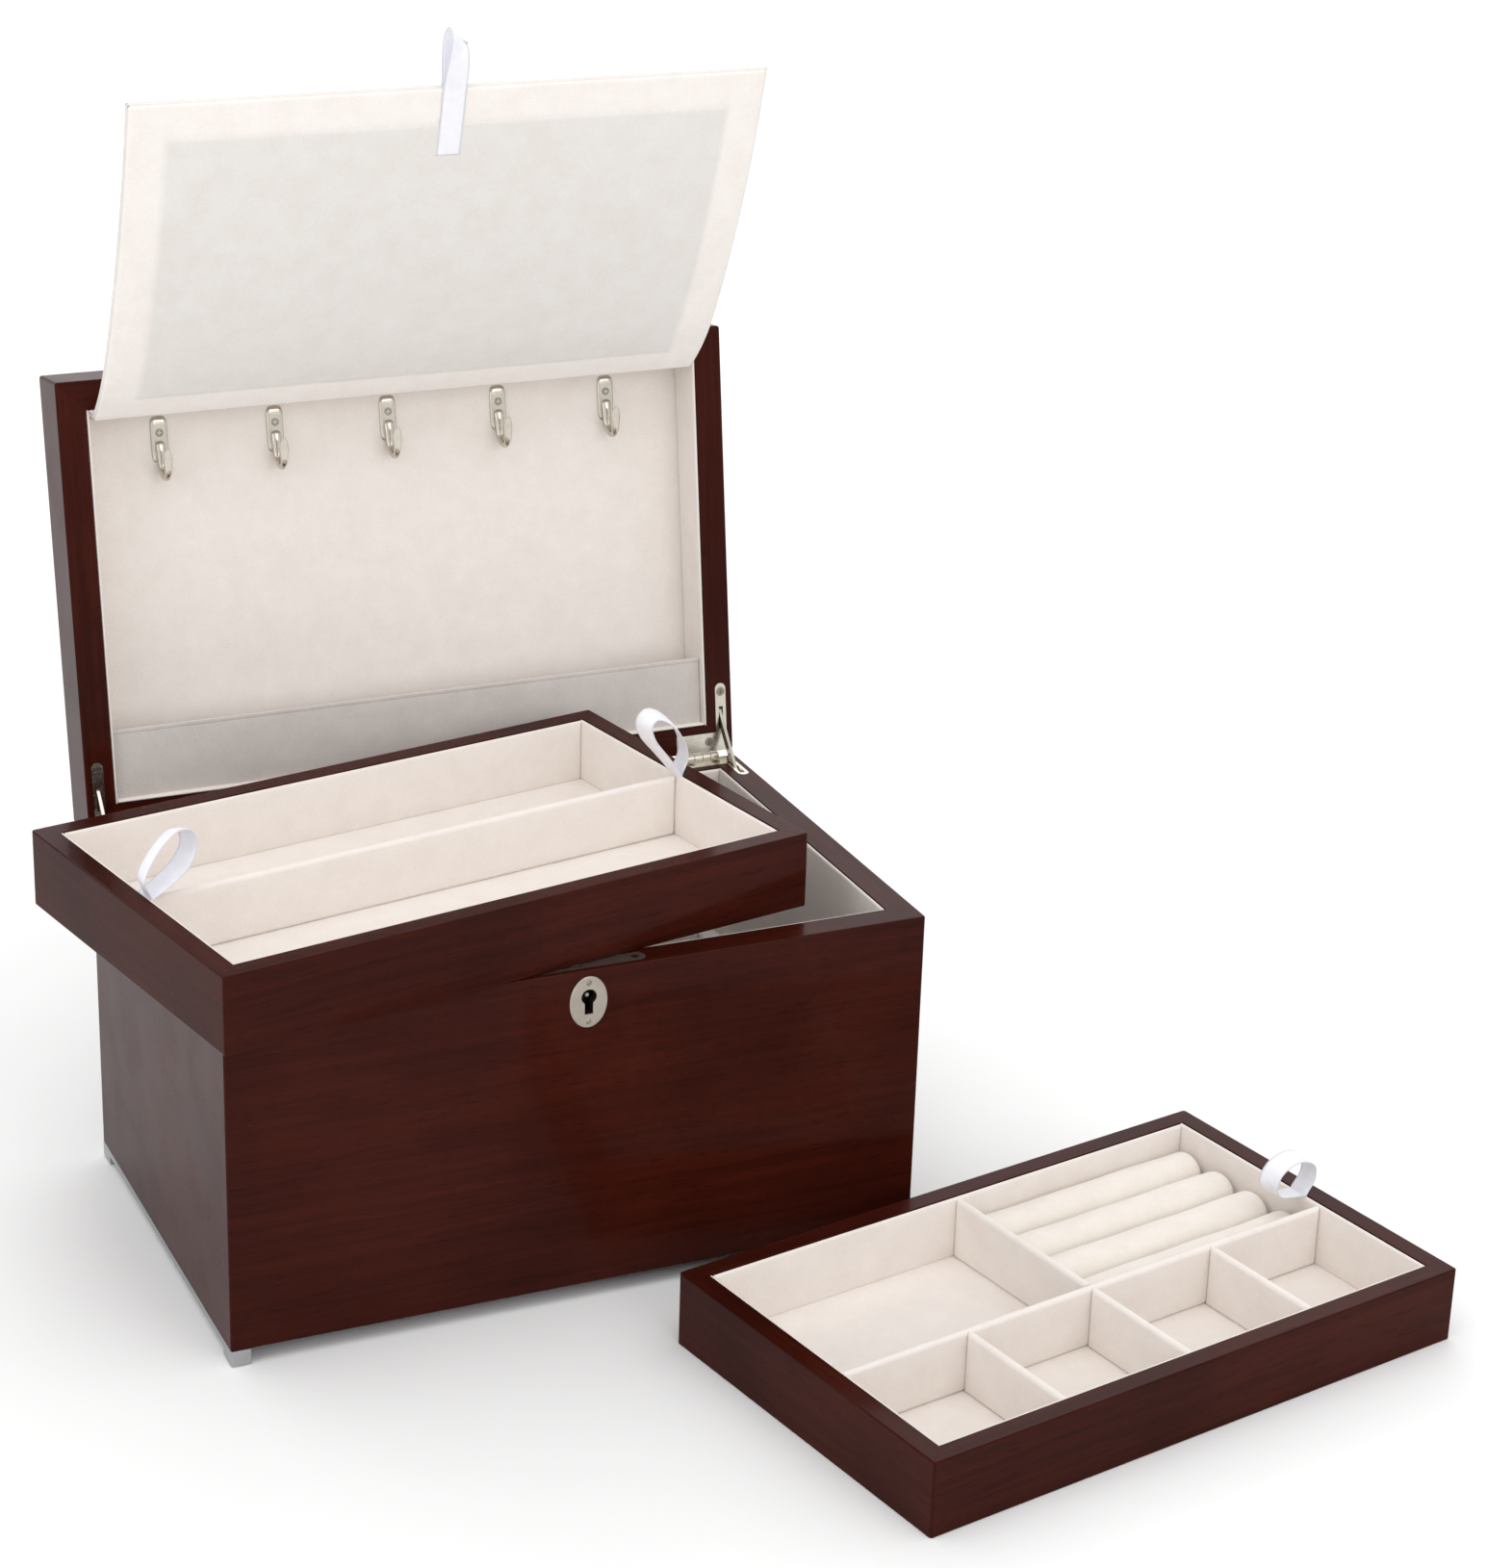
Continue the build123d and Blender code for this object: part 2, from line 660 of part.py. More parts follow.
with BuildPart() as hinge_pins:
    for side in (-1, 1):
        with BuildSketch(side_plane(rim_frame, side * leaf_start_x)):
            with Locations((hinge_y, 0)):
                Circle(hinge_pin_radius)
        extrude(amount=side * (knuckle_count * (knuckle_length + knuckle_gap) - knuckle_gap))
write(hinge_pins, "hinge_pins")

with BuildPart() as hinge_box_screws:
    screws(seats(rim_frame, box_screws), leaf_screw)
write(hinge_box_screws, "hinge_box_screws")

stay_top = lid_frame.from_local_coords((0, stay_top_y, stay_top_height))
stay_foot = Vector(0, stay_foot_y, rim_height - stay_foot_drop)
stay_run = stay_top - stay_foot
for side, side_name in ((-1, "left"), (1, "right")):
    stay_frame = Plane(
        origin=(side * leaf_arm_x, stay_foot.Y, stay_foot.Z), x_dir=stay_run, z_dir=(1, 0, 0)
    )
    with BuildPart() as stay:
        with BuildSketch(stay_frame):
            with Locations((stay_run.length / 2, 0)):
                Rectangle(stay_run.length, stay_width)
            with Locations((0, 0), (stay_run.length, 0)):
                Circle(stay_width / 2)
        extrude(amount=stay_thickness / 2, both=True)
        with BuildSketch(stay_frame):
            Circle(stay_pin_radius)
        extrude(amount=(stay_thickness + 2 * stay_lug) / 2, both=True)
        with BuildSketch(stay_frame):
            with Locations((stay_run.length, 0)):
                Circle(stay_pin_radius + running_clearance)
        extrude(amount=stay_thickness, both=True, mode=Mode.SUBTRACT)
    write(stay, f"stay_{side_name}")

# ---------------------------------------------------------------- lid

strike_points = [(side * strike_screw_spacing / 2, front_wall_y) for side in (-1, 1)]
strike_seats = seats(lid_frame, strike_points, facing=-1)

# Hooks stand on the lid's lining, a plate with a rod bent out of its lower end.
hook_floor = lid_recess - lining - seat_gap
hook_plate_face = hook_floor - hook_plate_thickness
hook_top_y = -inner_depth / 2 + hook_top_inset
hook_screw_y = hook_top_y + hook_plate_width / 2 + hook_screw_drop
hook_xs = [(index - (hook_count - 1) / 2) * hook_spacing for index in range(hook_count)]
hook_seats = seats(lid_frame, [(x, hook_screw_y) for x in hook_xs], hook_plate_face, facing=-1)
rod_z = hook_plate_face + hook_rod_radius - hook_rod_sink
rod_start_y = hook_top_y + hook_plate_length - hook_rod_overlap

for side_name in ("front", "back", "left", "right"):
    with BuildPart() as lid_rail:
        wall_ring(lid_frame, chest_length, chest_depth, wall, lid_height)
        lid_panel_frame = lid_frame.offset(lid_recess)
        panel_rabbet(
            lid_panel_frame, chest_length, chest_depth, wall, panel_lip, lid_height - lid_recess
        )
        keep_side(lid_frame, side_name, chest_length, chest_depth, wall, lid_height)
        if side_name == "front":
            with BuildSketch(lid_frame):
                with Locations((0, front_wall_y)):
                    SlotOverall(strike_length + 2 * seat_gap, lock_plate_width + 2 * seat_gap)
            extrude(amount=lock_plate_thickness, mode=Mode.SUBTRACT)
            screw_holes(strike_seats, lock_screw)
        else:
            hinge_cuts(lid_frame, lid_arm_length, -1, lid_screw_points, lid_mortise)
    write(lid_rail, f"lid_{side_name}_rail")

with BuildPart() as lid_top_panel:
    with BuildSketch(lid_panel_frame):
        Rectangle(chest_length - inset, chest_depth - inset)
    extrude(amount=lid_height - lid_recess)
    screw_holes(hook_seats, hook_screw)
write(lid_top_panel, "lid_top_panel")

with BuildPart() as lid_panel_liner:
    with BuildSketch(lid_panel_frame):
        Rectangle(lined_length - 2 * seat_gap, lined_depth - 2 * seat_gap)
    extrude(amount=-lining)
    screw_holes(hook_seats, hook_screw)
write(lid_panel_liner, "lid_panel_liner")

liner_top = lid_recess - lining - seat_gap
with BuildPart() as lid_side_liners:
    with BuildSketch(lid_frame.offset(lining_drop)):
        Rectangle(lined_length - 2 * seat_gap, lined_depth - 2 * seat_gap)
        Rectangle(inner_length, inner_depth, mode=Mode.SUBTRACT)
    extrude(amount=liner_top - lining_drop)
    cut_mitres(lid_frame, lined_length, lined_depth, lining, liner_top)
write(lid_side_liners, "lid_side_liners")

with BuildPart() as strike_plate:
    with BuildSketch(lid_frame):
        with Locations((0, front_wall_y)):
            SlotOverall(strike_length, lock_plate_width)
    extrude(amount=lock_plate_thickness)
    strike_centre = lid_frame.from_local_coords((0, front_wall_y, 0))
    with BuildSketch(Plane(strike_centre, lid_frame.x_dir, lid_frame.y_dir)):
        for lug_offset in (-bolt_lug_spacing / 2, bolt_lug_spacing / 2):
            hook_x = lock_slot_x + lug_offset + bolt_travel / 2
            barb_x = hook_x - (strike_hook_barb - strike_hook_stem) / 2
            with Locations((hook_x, strike_hook_drop / 2)):
                Rectangle(strike_hook_stem, strike_hook_drop)
            with Locations((barb_x, strike_hook_drop - strike_hook_stem / 2)):
                Rectangle(strike_hook_barb, strike_hook_stem)
    extrude(amount=strike_hook_width / 2, both=True)
    screw_holes(strike_seats, lock_screw)
write(strike_plate, "strike_plate")

with BuildPart() as lid_screws:
    screws(seats(lid_frame, lid_screw_points, facing=-1), leaf_screw)
    screws(strike_seats, lock_screw)
write(lid_screws, "lid_screws")

with BuildPart() as necklace_pocket:
    with BuildSketch(lid_frame.offset(pocket_recess)):
        with Locations((0, (inner_depth - pocket_height) / 2)):
            Rectangle(inner_length - 2 * seat_gap, pocket_height - 2 * seat_gap)
    extrude(amount=pocket_board)
write(necklace_pocket, "necklace_pocket")

for index, hook_x in enumerate(hook_xs):
    with BuildPart() as necklace_hook:
        with BuildSketch(lid_frame.offset(hook_floor)):
            with Locations((hook_x, hook_top_y + hook_plate_length / 2)):
                SlotOverall(hook_plate_length, hook_plate_width, rotation=90)
        extrude(amount=-hook_plate_thickness)
        with BuildLine(side_plane(lid_frame, hook_x)) as rod:
            leg = Line((rod_start_y, rod_z), (rod_start_y + hook_leg, rod_z))
            bend = JernArc(leg @ 1, leg % 1, hook_bend_radius, -180)
            Line(bend @ 1, bend @ 1 - lid_frame.y_dir * hook_rise)
        with BuildSketch(Plane(origin=rod.line @ 0, z_dir=rod.line % 0)):
            Circle(hook_rod_radius)
        sweep(path=rod.line)
        with Locations(Plane(rod.line @ 1).location):
            Sphere(hook_tip_radius)
        with BuildSketch(lid_frame.offset(hook_floor)):
            with Locations((hook_x, hook_top_y + hook_plate_length / 2)):
                Rectangle(4 * hook_plate_width, 4 * hook_plate_length)
        extrude(amount=2 * hook_bend_radius, mode=Mode.SUBTRACT)
        screw_holes([hook_seats[index]], hook_screw)
    write(necklace_hook, f"necklace_hook_{index + 1}")

with BuildPart() as hook_screws:
    screws(hook_seats, hook_screw)
write(hook_screws, "hook_screws")

flap_width = inner_length - 2 * flap_side_gap
batten_y = -inner_depth / 2 + batten_thickness / 2
with BuildPart() as flap_batten:
    with BuildSketch(lid_frame.offset(batten_drop)):
        with Locations((0, batten_y + seat_gap)):
            Rectangle(flap_width, batten_thickness)
    extrude(amount=batten_height)
write(flap_batten, "flap_batten")

# ---------------------------------------------------------------- necklace flap

crease_y = -inner_depth / 2 + batten_thickness + flap_crease_gap + flap_thickness / 2
crease = lid_frame.from_local_coords((0, crease_y, batten_drop))
flap_start = Vector(0, -cos(radians(flap_rise_angle)), sin(radians(flap_rise_angle)))
with BuildPart() as necklace_flap:
    with BuildLine(Plane(origin=crease, x_dir=(0, 1, 0), z_dir=(1, 0, 0))) as flap_curve:
        first = (-cos(radians(flap_rise_angle)), sin(radians(flap_rise_angle)))
        root_radius = flap_root_length / radians(flap_root_turn)
        tip_radius = (flap_length - flap_root_length) / radians(flap_tip_turn)
        root = JernArc((0, 0), first, root_radius, -flap_root_turn)
        JernArc(root @ 1, root % 1, tip_radius, -flap_tip_turn)
    with BuildSketch(Plane(origin=crease, x_dir=(1, 0, 0), z_dir=flap_start)):
        Rectangle(flap_width, flap_thickness)
    sweep(path=flap_curve.line)
write(necklace_flap, "necklace_flap")

# Its pull ribbon is sewn flat to both faces of the free edge and stands up in a loop.
# The two sewn legs follow the card, whose centre of curvature is behind it.
tip_plane = Plane(origin=flap_curve.line @ 1, x_dir=flap_curve.line % 1, z_dir=(-1, 0, 0))
stand = (flap_thickness + ribbon_thickness) / 2 + seat_gap
with BuildPart() as flap_pull_ribbon:
    for side, leg_length in ((-1, pull_front_leg), (1, pull_back_leg)):
        leg_radius = tip_radius - side * stand
        with BuildLine(tip_plane) as leg:
            JernArc((0, side * stand), (-1, 0), leg_radius, -degrees(leg_length / leg_radius))
        with BuildSketch(Plane(origin=leg.line @ 0, x_dir=(1, 0, 0), z_dir=leg.line % 0)):
            Rectangle(ribbon_width, ribbon_thickness)
        sweep(path=leg.line)
    with BuildSketch(tip_plane):
        half_foot = stand + ribbon_thickness / 2
        bow_x = pull_loop_height - pull_loop_radius
        with BuildLine():
            rise = Line((0, -half_foot), (bow_x, -pull_loop_radius))
            bow = ThreePointArc(rise @ 1, (pull_loop_height, 0), (bow_x, pull_loop_radius))
            Polyline(bow @ 1, (0, half_foot), (0, -half_foot))
        make_face()
        offset(amount=-ribbon_thickness, mode=Mode.SUBTRACT)
    extrude(amount=ribbon_width / 2, both=True)
write(flap_pull_ribbon, "flap_pull_ribbon")

# ---------------------------------------------------------------- trays

tray_floor = tray_base + tray_lining
tray_frames = {"upper_tray": upper_tray_frame, "lower_tray": lower_tray_frame}
for tray, frame in tray_frames.items():
    with BuildPart() as tray_walls:
        wall_ring(frame, tray_length, tray_depth, tray_wall, tray_height)
        panel_rabbet(frame, tray_length, tray_depth, tray_wall, tray_base_lip, tray_base)
        cut_mitres(frame, tray_length, tray_depth, tray_wall, tray_height)
    write(tray_walls, f"{tray}_walls")

    with BuildPart() as tray_panel:
        with BuildSketch(frame):
            tray_inset = 2 * (tray_wall - tray_base_lip + seat_gap)
            Rectangle(tray_length - tray_inset, tray_depth - tray_inset)
        extrude(amount=tray_base)
    write(tray_panel, f"{tray}_base")

    opening = (tray_length - 2 * tray_wall, tray_depth - 2 * tray_wall)
    with BuildPart() as tray_floor_liner:
        with BuildSketch(frame.offset(tray_base)):
            Rectangle(opening[0] - 2 * seat_gap, opening[1] - 2 * seat_gap)
        extrude(amount=tray_lining)
    write(tray_floor_liner, f"{tray}_floor_liner")

    with BuildPart() as tray_wall_liners:
        tray_liner_height = tray_height - lining_drop - tray_floor - seat_gap
        with BuildSketch(frame.offset(tray_floor + seat_gap)):
            Rectangle(opening[0] - 2 * seat_gap, opening[1] - 2 * seat_gap)
            Rectangle(tray_inner_length, tray_inner_depth, mode=Mode.SUBTRACT)
        extrude(amount=tray_liner_height)
        cut_mitres(frame, *opening, tray_lining, tray_height)
    write(tray_wall_liners, f"{tray}_wall_liners")

divider_base = tray_floor + seat_gap
divider_height = tray_height - divider_drop - divider_base
long_divider = tray_inner_length - 2 * seat_gap
with BuildPart() as upper_tray_divider:
    with BuildSketch(upper_tray_frame.offset(divider_base)):
        Rectangle(long_divider, divider)
    extrude(amount=divider_height)
    top_edges = upper_tray_divider.faces().sort_by(Axis.Z)[-1].edges()
    fillet(top_edges.sort_by(SortBy.LENGTH)[-2:], divider_round)
write(upper_tray_divider, "upper_tray_divider")

back_row = tray_inner_depth / 2 - row_divider_y - divider / 2
front_row = tray_inner_depth / 2 + row_divider_y - divider / 2
with BuildPart() as lower_tray_dividers:
    with BuildSketch(lower_tray_frame.offset(divider_base)):
        with Locations((0, row_divider_y)):
            Rectangle(long_divider, divider)
        with Locations((0, row_divider_y + divider / 2 + back_row / 2)):
            Rectangle(divider, back_row - 2 * seat_gap)
        small_pitch = (tray_inner_length + divider) / small_compartments
        for index in range(1, small_compartments):
            x = -tray_inner_length / 2 - divider / 2 + index * small_pitch
            with Locations((x, row_divider_y - divider / 2 - front_row / 2)):
                Rectangle(divider, front_row - 2 * seat_gap)
    extrude(amount=divider_height)
    top_faces = [f for f in lower_tray_dividers.faces() if abs(f.normal_at().Z - 1) < 0.01]
    for top_face in top_faces:
        fillet(top_face.edges().sort_by(SortBy.LENGTH)[-2:], divider_round)
write(lower_tray_dividers, "lower_tray_dividers")

roll_pitch = back_row / roll_count
roll_radius = (roll_pitch - roll_gap) / 2
roll_start = divider / 2 + roll_end_gap
roll_length = tray_inner_length / 2 - divider / 2 - 2 * roll_end_gap
with BuildPart() as ring_rolls:
    for index in range(roll_count):
        roll_y = row_divider_y + divider / 2 + (index + 0.5) * roll_pitch
        with BuildSketch(side_plane(lower_tray_frame, roll_start)):
            with Locations((roll_y, tray_floor + seat_gap + roll_radius)):
                Circle(roll_radius)
        roll = extrude(amount=roll_length)
        fillet(roll.edges().filter_by(GeomType.CIRCLE), roll_round)
write(ring_rolls, "ring_rolls")

# Each tray's two lifting ribbons are glued behind the end linings.
ribbon_x = tray_inner_length / 2 - ribbon_end_inset
ribbon_foot = tray_height - ribbon_foot_drop
with BuildPart() as upper_tray_ribbons:
    middle = Plane(upper_tray_frame.origin, upper_tray_frame.x_dir, -upper_tray_frame.y_dir)
    for side in (-1, 1):
        ribbon_loop(middle, side * ribbon_x, ribbon_foot, -side * loop_lean, loop_height, loop_radius)
write(upper_tray_ribbons, "upper_tray_ribbons")

with BuildPart() as lower_tray_ribbons:
    upright = Plane(lower_tray_frame.origin, lower_tray_frame.x_dir, -lower_tray_frame.y_dir)
    hanging = Plane(lower_tray_frame.origin, lower_tray_frame.x_dir, lower_tray_frame.y_dir)
    right_lean, left_lean = short_loop_leans
    ribbon_loop(upright, ribbon_x, ribbon_foot, right_lean, short_loop_height, short_loop_radius)
    ribbon_loop(hanging, -ribbon_x, -ribbon_foot, left_lean, short_loop_height, short_loop_radius)
write(lower_tray_ribbons, "lower_tray_ribbons")
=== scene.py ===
import json
from math import cos, pi, radians, sin

import bmesh
import bpy
import numpy as np
from mathutils import Matrix, Vector


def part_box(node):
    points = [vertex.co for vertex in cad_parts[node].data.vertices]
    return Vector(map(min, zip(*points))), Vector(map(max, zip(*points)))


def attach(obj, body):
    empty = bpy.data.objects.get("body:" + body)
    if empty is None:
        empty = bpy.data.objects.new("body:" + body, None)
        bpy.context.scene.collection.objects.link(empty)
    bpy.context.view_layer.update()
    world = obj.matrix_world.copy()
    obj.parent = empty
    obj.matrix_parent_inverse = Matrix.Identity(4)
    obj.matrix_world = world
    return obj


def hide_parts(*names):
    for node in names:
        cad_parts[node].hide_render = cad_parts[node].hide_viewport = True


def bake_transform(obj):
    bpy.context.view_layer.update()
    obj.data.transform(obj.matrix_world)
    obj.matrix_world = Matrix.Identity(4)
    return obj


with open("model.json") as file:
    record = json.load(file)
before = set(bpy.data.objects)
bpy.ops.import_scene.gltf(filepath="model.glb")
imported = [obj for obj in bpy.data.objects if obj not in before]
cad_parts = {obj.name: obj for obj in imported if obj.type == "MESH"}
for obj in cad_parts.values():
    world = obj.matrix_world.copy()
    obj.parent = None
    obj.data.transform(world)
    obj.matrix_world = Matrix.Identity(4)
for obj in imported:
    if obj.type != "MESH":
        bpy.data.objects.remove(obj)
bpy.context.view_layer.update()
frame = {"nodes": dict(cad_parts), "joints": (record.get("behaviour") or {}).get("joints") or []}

# ---------------------------------------------------------------- view, floor and light
# The chest stands on a pale matt table and is seen from its left front, a little from above.
# A wide softbox hangs overhead, a tall one stands at the left, one is in front, and a broad
# one at the back keeps the far table as pale as the near one.

def linear(code):
    """sRGB hex to linear RGBA: v / 12.92 below 0.04045, else ((v + 0.055) / 1.055) ^ 2.4."""
    values = np.array([int(code[i:i + 2], 16) / 255 for i in (1, 3, 5)])
    values = np.where(values <= 0.04045, values / 12.92, ((values + 0.055) / 1.055) ** 2.4)
    return (*values.tolist(), 1.0)


def add_node(material, kind, inputs=None, **settings):
    """Adds one shader node. inputs maps a socket's name or number to a value or to a socket."""
    node = material.node_tree.nodes.new("ShaderNode" + kind)
    for name, value in settings.items():
        setattr(node, name, value)
    for key, value in (inputs or {}).items():
        if isinstance(value, bpy.types.NodeSocket):
            material.node_tree.links.new(value, node.inputs[key])
        else:
            node.inputs[key].default_value = value
    return node


def new_material(name, **settings):
    """An empty material and its Principled shader, with the shader's even values set on it."""
    material = bpy.data.materials.new(name)
    material.use_nodes = True
    shader = material.node_tree.nodes["Principled BSDF"]
    for key, value in settings.items():
        shader.inputs[key.replace("_", " ").title().replace("Ior", "IOR")].default_value = value
    return material, shader


eye = Vector((-0.548165, -1.444341, 0.83552))
azimuth, elevation, roll = radians(-24.855), radians(21.934), radians(1.821)
back = Vector((sin(azimuth) * cos(elevation), -cos(azimuth) * cos(elevation), sin(elevation)))
right = (-back).cross(Vector((0, 0, 1))).normalized()
up = right.cross(-back)
right, up = cos(roll) * right + sin(roll) * up, cos(roll) * up - sin(roll) * right
camera = bpy.data.objects.new("camera", bpy.data.cameras.new("camera"))
camera.matrix_world = Matrix.Translation(eye) @ Matrix((right, up, back)).transposed().to_4x4()
camera.data.lens = 83.70
camera.data.clip_end = 60
bpy.context.scene.collection.objects.link(camera)
bpy.context.scene.camera = camera

floor_mesh = bpy.data.meshes.new("table")
table_reach = 15.0
corners = [(x * table_reach, y * table_reach, 0) for x, y in ((-1, -1), (1, -1), (1, 1), (-1, 1))]
floor_mesh.from_pydata(corners, [], [(0, 1, 2, 3)])
table = bpy.data.objects.new("table", floor_mesh)
bpy.context.scene.collection.objects.link(table)
table_paint, shader = new_material("matt_white_table", roughness=0.85, specular_ior_level=0.2)
table_spot = add_node(table_paint, "TexCoord").outputs["Object"]
mottle = add_node(table_paint, "TexNoise", {"Vector": table_spot, "Scale": 9.0, "Detail": 3.0})
table_tint = add_node(table_paint, "ValToRGB", {0: mottle.outputs["Fac"]})
table_tint.color_ramp.elements[0].color = linear("#F8F8F7")
table_tint.color_ramp.elements[1].color = linear("#FDFDFC")
table_paint.node_tree.links.new(table_tint.outputs["Color"], shader.inputs["Base Color"])
floor_mesh.materials.append(table_paint)

chest_middle, under_backdrop = (0.0, 0.0, 0.15), (1.2, 3.6, 0.0)
for name, place, aim, wide, high, power in (
    ("softbox_overhead", (-0.3, -0.5, 2.2), chest_middle, 2.0, 1.6, 11),
    ("softbox_left", (-2.2, -0.9, 0.9), chest_middle, 1.2, 1.7, 6),
    ("softbox_front", (0.7, -2.6, 1.5), (0.05, 0.0, 0.2), 1.6, 1.1, 11),
    ("softbox_backdrop", (1.2, 3.6, 2.2), under_backdrop, 6.0, 3.0, 70),
):
    lamp = bpy.data.lights.new(name, "AREA")
    lamp.shape, lamp.size, lamp.size_y, lamp.energy = "RECTANGLE", wide, high, power
    box = bpy.data.objects.new(name, lamp)
    towards = (Vector(aim) - Vector(place)).to_track_quat("-Z", "Y")
    box.matrix_world = Matrix.Translation(place) @ towards.to_matrix().to_4x4()
    bpy.context.scene.collection.objects.link(box)
sky = bpy.data.worlds.new("studio")
sky.use_nodes = True
sky.node_tree.nodes["Background"].inputs["Color"].default_value = linear("#FBFBFC")
sky.node_tree.nodes["Background"].inputs["Strength"].default_value = 0.88
bpy.context.scene.world = sky
bpy.context.scene.view_settings.view_transform = "Standard"

# ---------------------------------------------------------------- lacquered boards
# Chest, lid and tray walls are 13.5 mm and 9.5 mm boards with mitred corners, stained to a
# dark red mahogany and sprayed with semi-gloss lacquer, which leaves a soft clear reflection.
# The grain runs the long way of each board.
tray_turn = radians(11.0)
lid_swing = radians(98.4)
hinge = Vector(next(j["pos_m"] for j in frame["joints"] if j["name"] == "lid_hinge"))
lid_origin = Vector((0, hinge.y - hinge.y * cos(lid_swing), hinge.z + hinge.y * sin(lid_swing)))


def lacquered_mahogany(name, centre, turn, half=None):
    """Stained mahogany under lacquer, drawn in the boards' own frame: centre and turn.
    Grain figure is noise 90 mm long and 3.5 mm wide, pores are 10 by 0.8 mm. With half, the
    grain of the end boards runs across: where (half.x - |x|) < (half.y - |y|), a mitre line."""
    wood, shader = new_material(name, coat_weight=0.08, coat_roughness=0.08, specular_ior_level=0.03)
    spot = add_node(wood, "TexCoord").outputs["Object"]
    own = add_node(wood, "Mapping", {"Vector": spot, "Location": centre, "Rotation": turn},
                   vector_type="TEXTURE").outputs[0]
    grain = own
    if half:
        swapped = add_node(wood, "Mapping", {"Vector": own, "Rotation": (0, 0, pi / 2)}).outputs[0]
        axes = add_node(wood, "SeparateXYZ", {0: own}).outputs
        reach = [add_node(wood, "Math", {0: half[i], 1: add_node(
            wood, "Math", {0: axes[i]}, operation="ABSOLUTE").outputs[0]}, operation="SUBTRACT")
            for i in (0, 1)]
        on_end = add_node(wood, "Math", {0: reach[0].outputs[0], 1: reach[1].outputs[0]},
                          operation="LESS_THAN").outputs[0]
        grain = add_node(wood, "Mix", {0: on_end, 4: own, 5: swapped}, data_type="VECTOR").outputs[1]
    long_way = add_node(wood, "Mapping", {"Vector": grain, "Scale": (11, 280, 280)}).outputs[0]
    figure = add_node(wood, "TexNoise", {"Vector": long_way, "Scale": 1.0, "Detail": 3.0,
                                         "Distortion": 0.7}).outputs["Fac"]
    pore_way = add_node(wood, "Mapping", {"Vector": grain, "Scale": (100, 1250, 1250)}).outputs[0]
    pores = add_node(wood, "TexNoise", {"Vector": pore_way, "Scale": 1.0, "Detail": 1.0}).outputs["Fac"]
    cloud = add_node(wood, "TexNoise", {"Vector": grain, "Scale": 14.0, "Detail": 2.0}).outputs["Fac"]
    stain = add_node(wood, "ValToRGB", {0: figure})
    stain.color_ramp.elements[0].position, stain.color_ramp.elements[1].position = 0.30, 0.72
    stain.color_ramp.elements[0].color = linear("#36120B")
    stain.color_ramp.elements[1].color = linear("#43180F")
    deep = add_node(wood, "ValToRGB", {0: cloud})
    deep.color_ramp.elements[0].position, deep.color_ramp.elements[1].position = 0.35, 0.65
    deep.color_ramp.elements[0].color = linear("#8A7470")
    deep.color_ramp.elements[1].color = linear("#FFFFFF")
    tone = add_node(wood, "Mix", {0: 0.40, 6: stain.outputs[0], 7: deep.outputs[0]},
                    data_type="RGBA", blend_type="MULTIPLY").outputs[2]
    open_pores = add_node(wood, "MapRange", {0: pores, 1: 0.30, 2: 0.42, 3: 0.35, 4: 0.0}).outputs[0]
    tone = add_node(wood, "Mix", {0: open_pores, 6: tone, 7: linear("#170705")},
                    data_type="RGBA").outputs[2]
    wood.node_tree.links.new(tone, shader.inputs["Base Color"])
    smudge = add_node(wood, "TexNoise", {"Vector": grain, "Scale": 30.0, "Detail": 3.0}).outputs["Fac"]
    gloss = add_node(wood, "MapRange", {0: smudge, 1: 0.3, 2: 0.7, 3: 0.22, 4: 0.30}).outputs[0]
    wood.node_tree.links.new(gloss, shader.inputs["Roughness"])
    flow = add_node(wood, "TexNoise", {"Vector": grain, "Scale": 260.0, "Detail": 1.0}).outputs["Fac"]
    sunk = add_node(wood, "Math", {0: figure, 1: flow}, operation="ADD").outputs[0]
    relief = add_node(wood, "Bump", {"Height": sunk, "Strength": 0.25, "Distance": 0.00006}).outputs[0]
    wood.node_tree.links.new(relief, shader.inputs["Normal"])
    return wood


def dress(material, *names):
    """Gives CAD nodes their finish."""
    for name in names:
        for slot in frame["nodes"][name].material_slots:
            slot.material = material


def centre_of(node):
    """The middle of a node's box, on the height of its underside."""
    low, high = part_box(node)
    return Vector(((low.x + high.x) / 2, (low.y + high.y) / 2, low.z))


upper_centre, lower_centre = centre_of("upper_tray_base"), centre_of("lower_tray_base")
sides = ("front", "back", "left", "right")
chest_half, tray_half = (0.165, 0.1065), (0.148, 0.0915)
dress(lacquered_mahogany("lacquered_mahogany_chest", (0, 0, 0), (0, 0, 0), chest_half),
      *[f"chest_{side}_wall" for side in sides])
dress(lacquered_mahogany("lacquered_mahogany_lid", lid_origin, (-lid_swing, 0, 0), chest_half),
      *[f"lid_{side}_rail" for side in sides])
dress(lacquered_mahogany("lacquered_mahogany_panel", lid_origin, (-lid_swing, 0, 0)),
      "lid_top_panel", "chest_bottom_panel")
for tray, middle in (("upper_tray", upper_centre), ("lower_tray", lower_centre)):
    dress(lacquered_mahogany(f"lacquered_mahogany_{tray}", middle, (0, 0, tray_turn), tray_half),
          f"{tray}_walls")
    dress(lacquered_mahogany(f"lacquered_mahogany_{tray}_base", middle, (0, 0, tray_turn)),
          f"{tray}_base")

# ---------------------------------------------------------------- chest lining
# Every inside face is thin card wrapped in ivory faux suede and glued in: a floor board, four
# wall boards and, at both ends, a thicker board whose top the lower tray stands on. The nap
# is short, so it looks matt, a little cloudy where it was brushed, and its edges are soft.

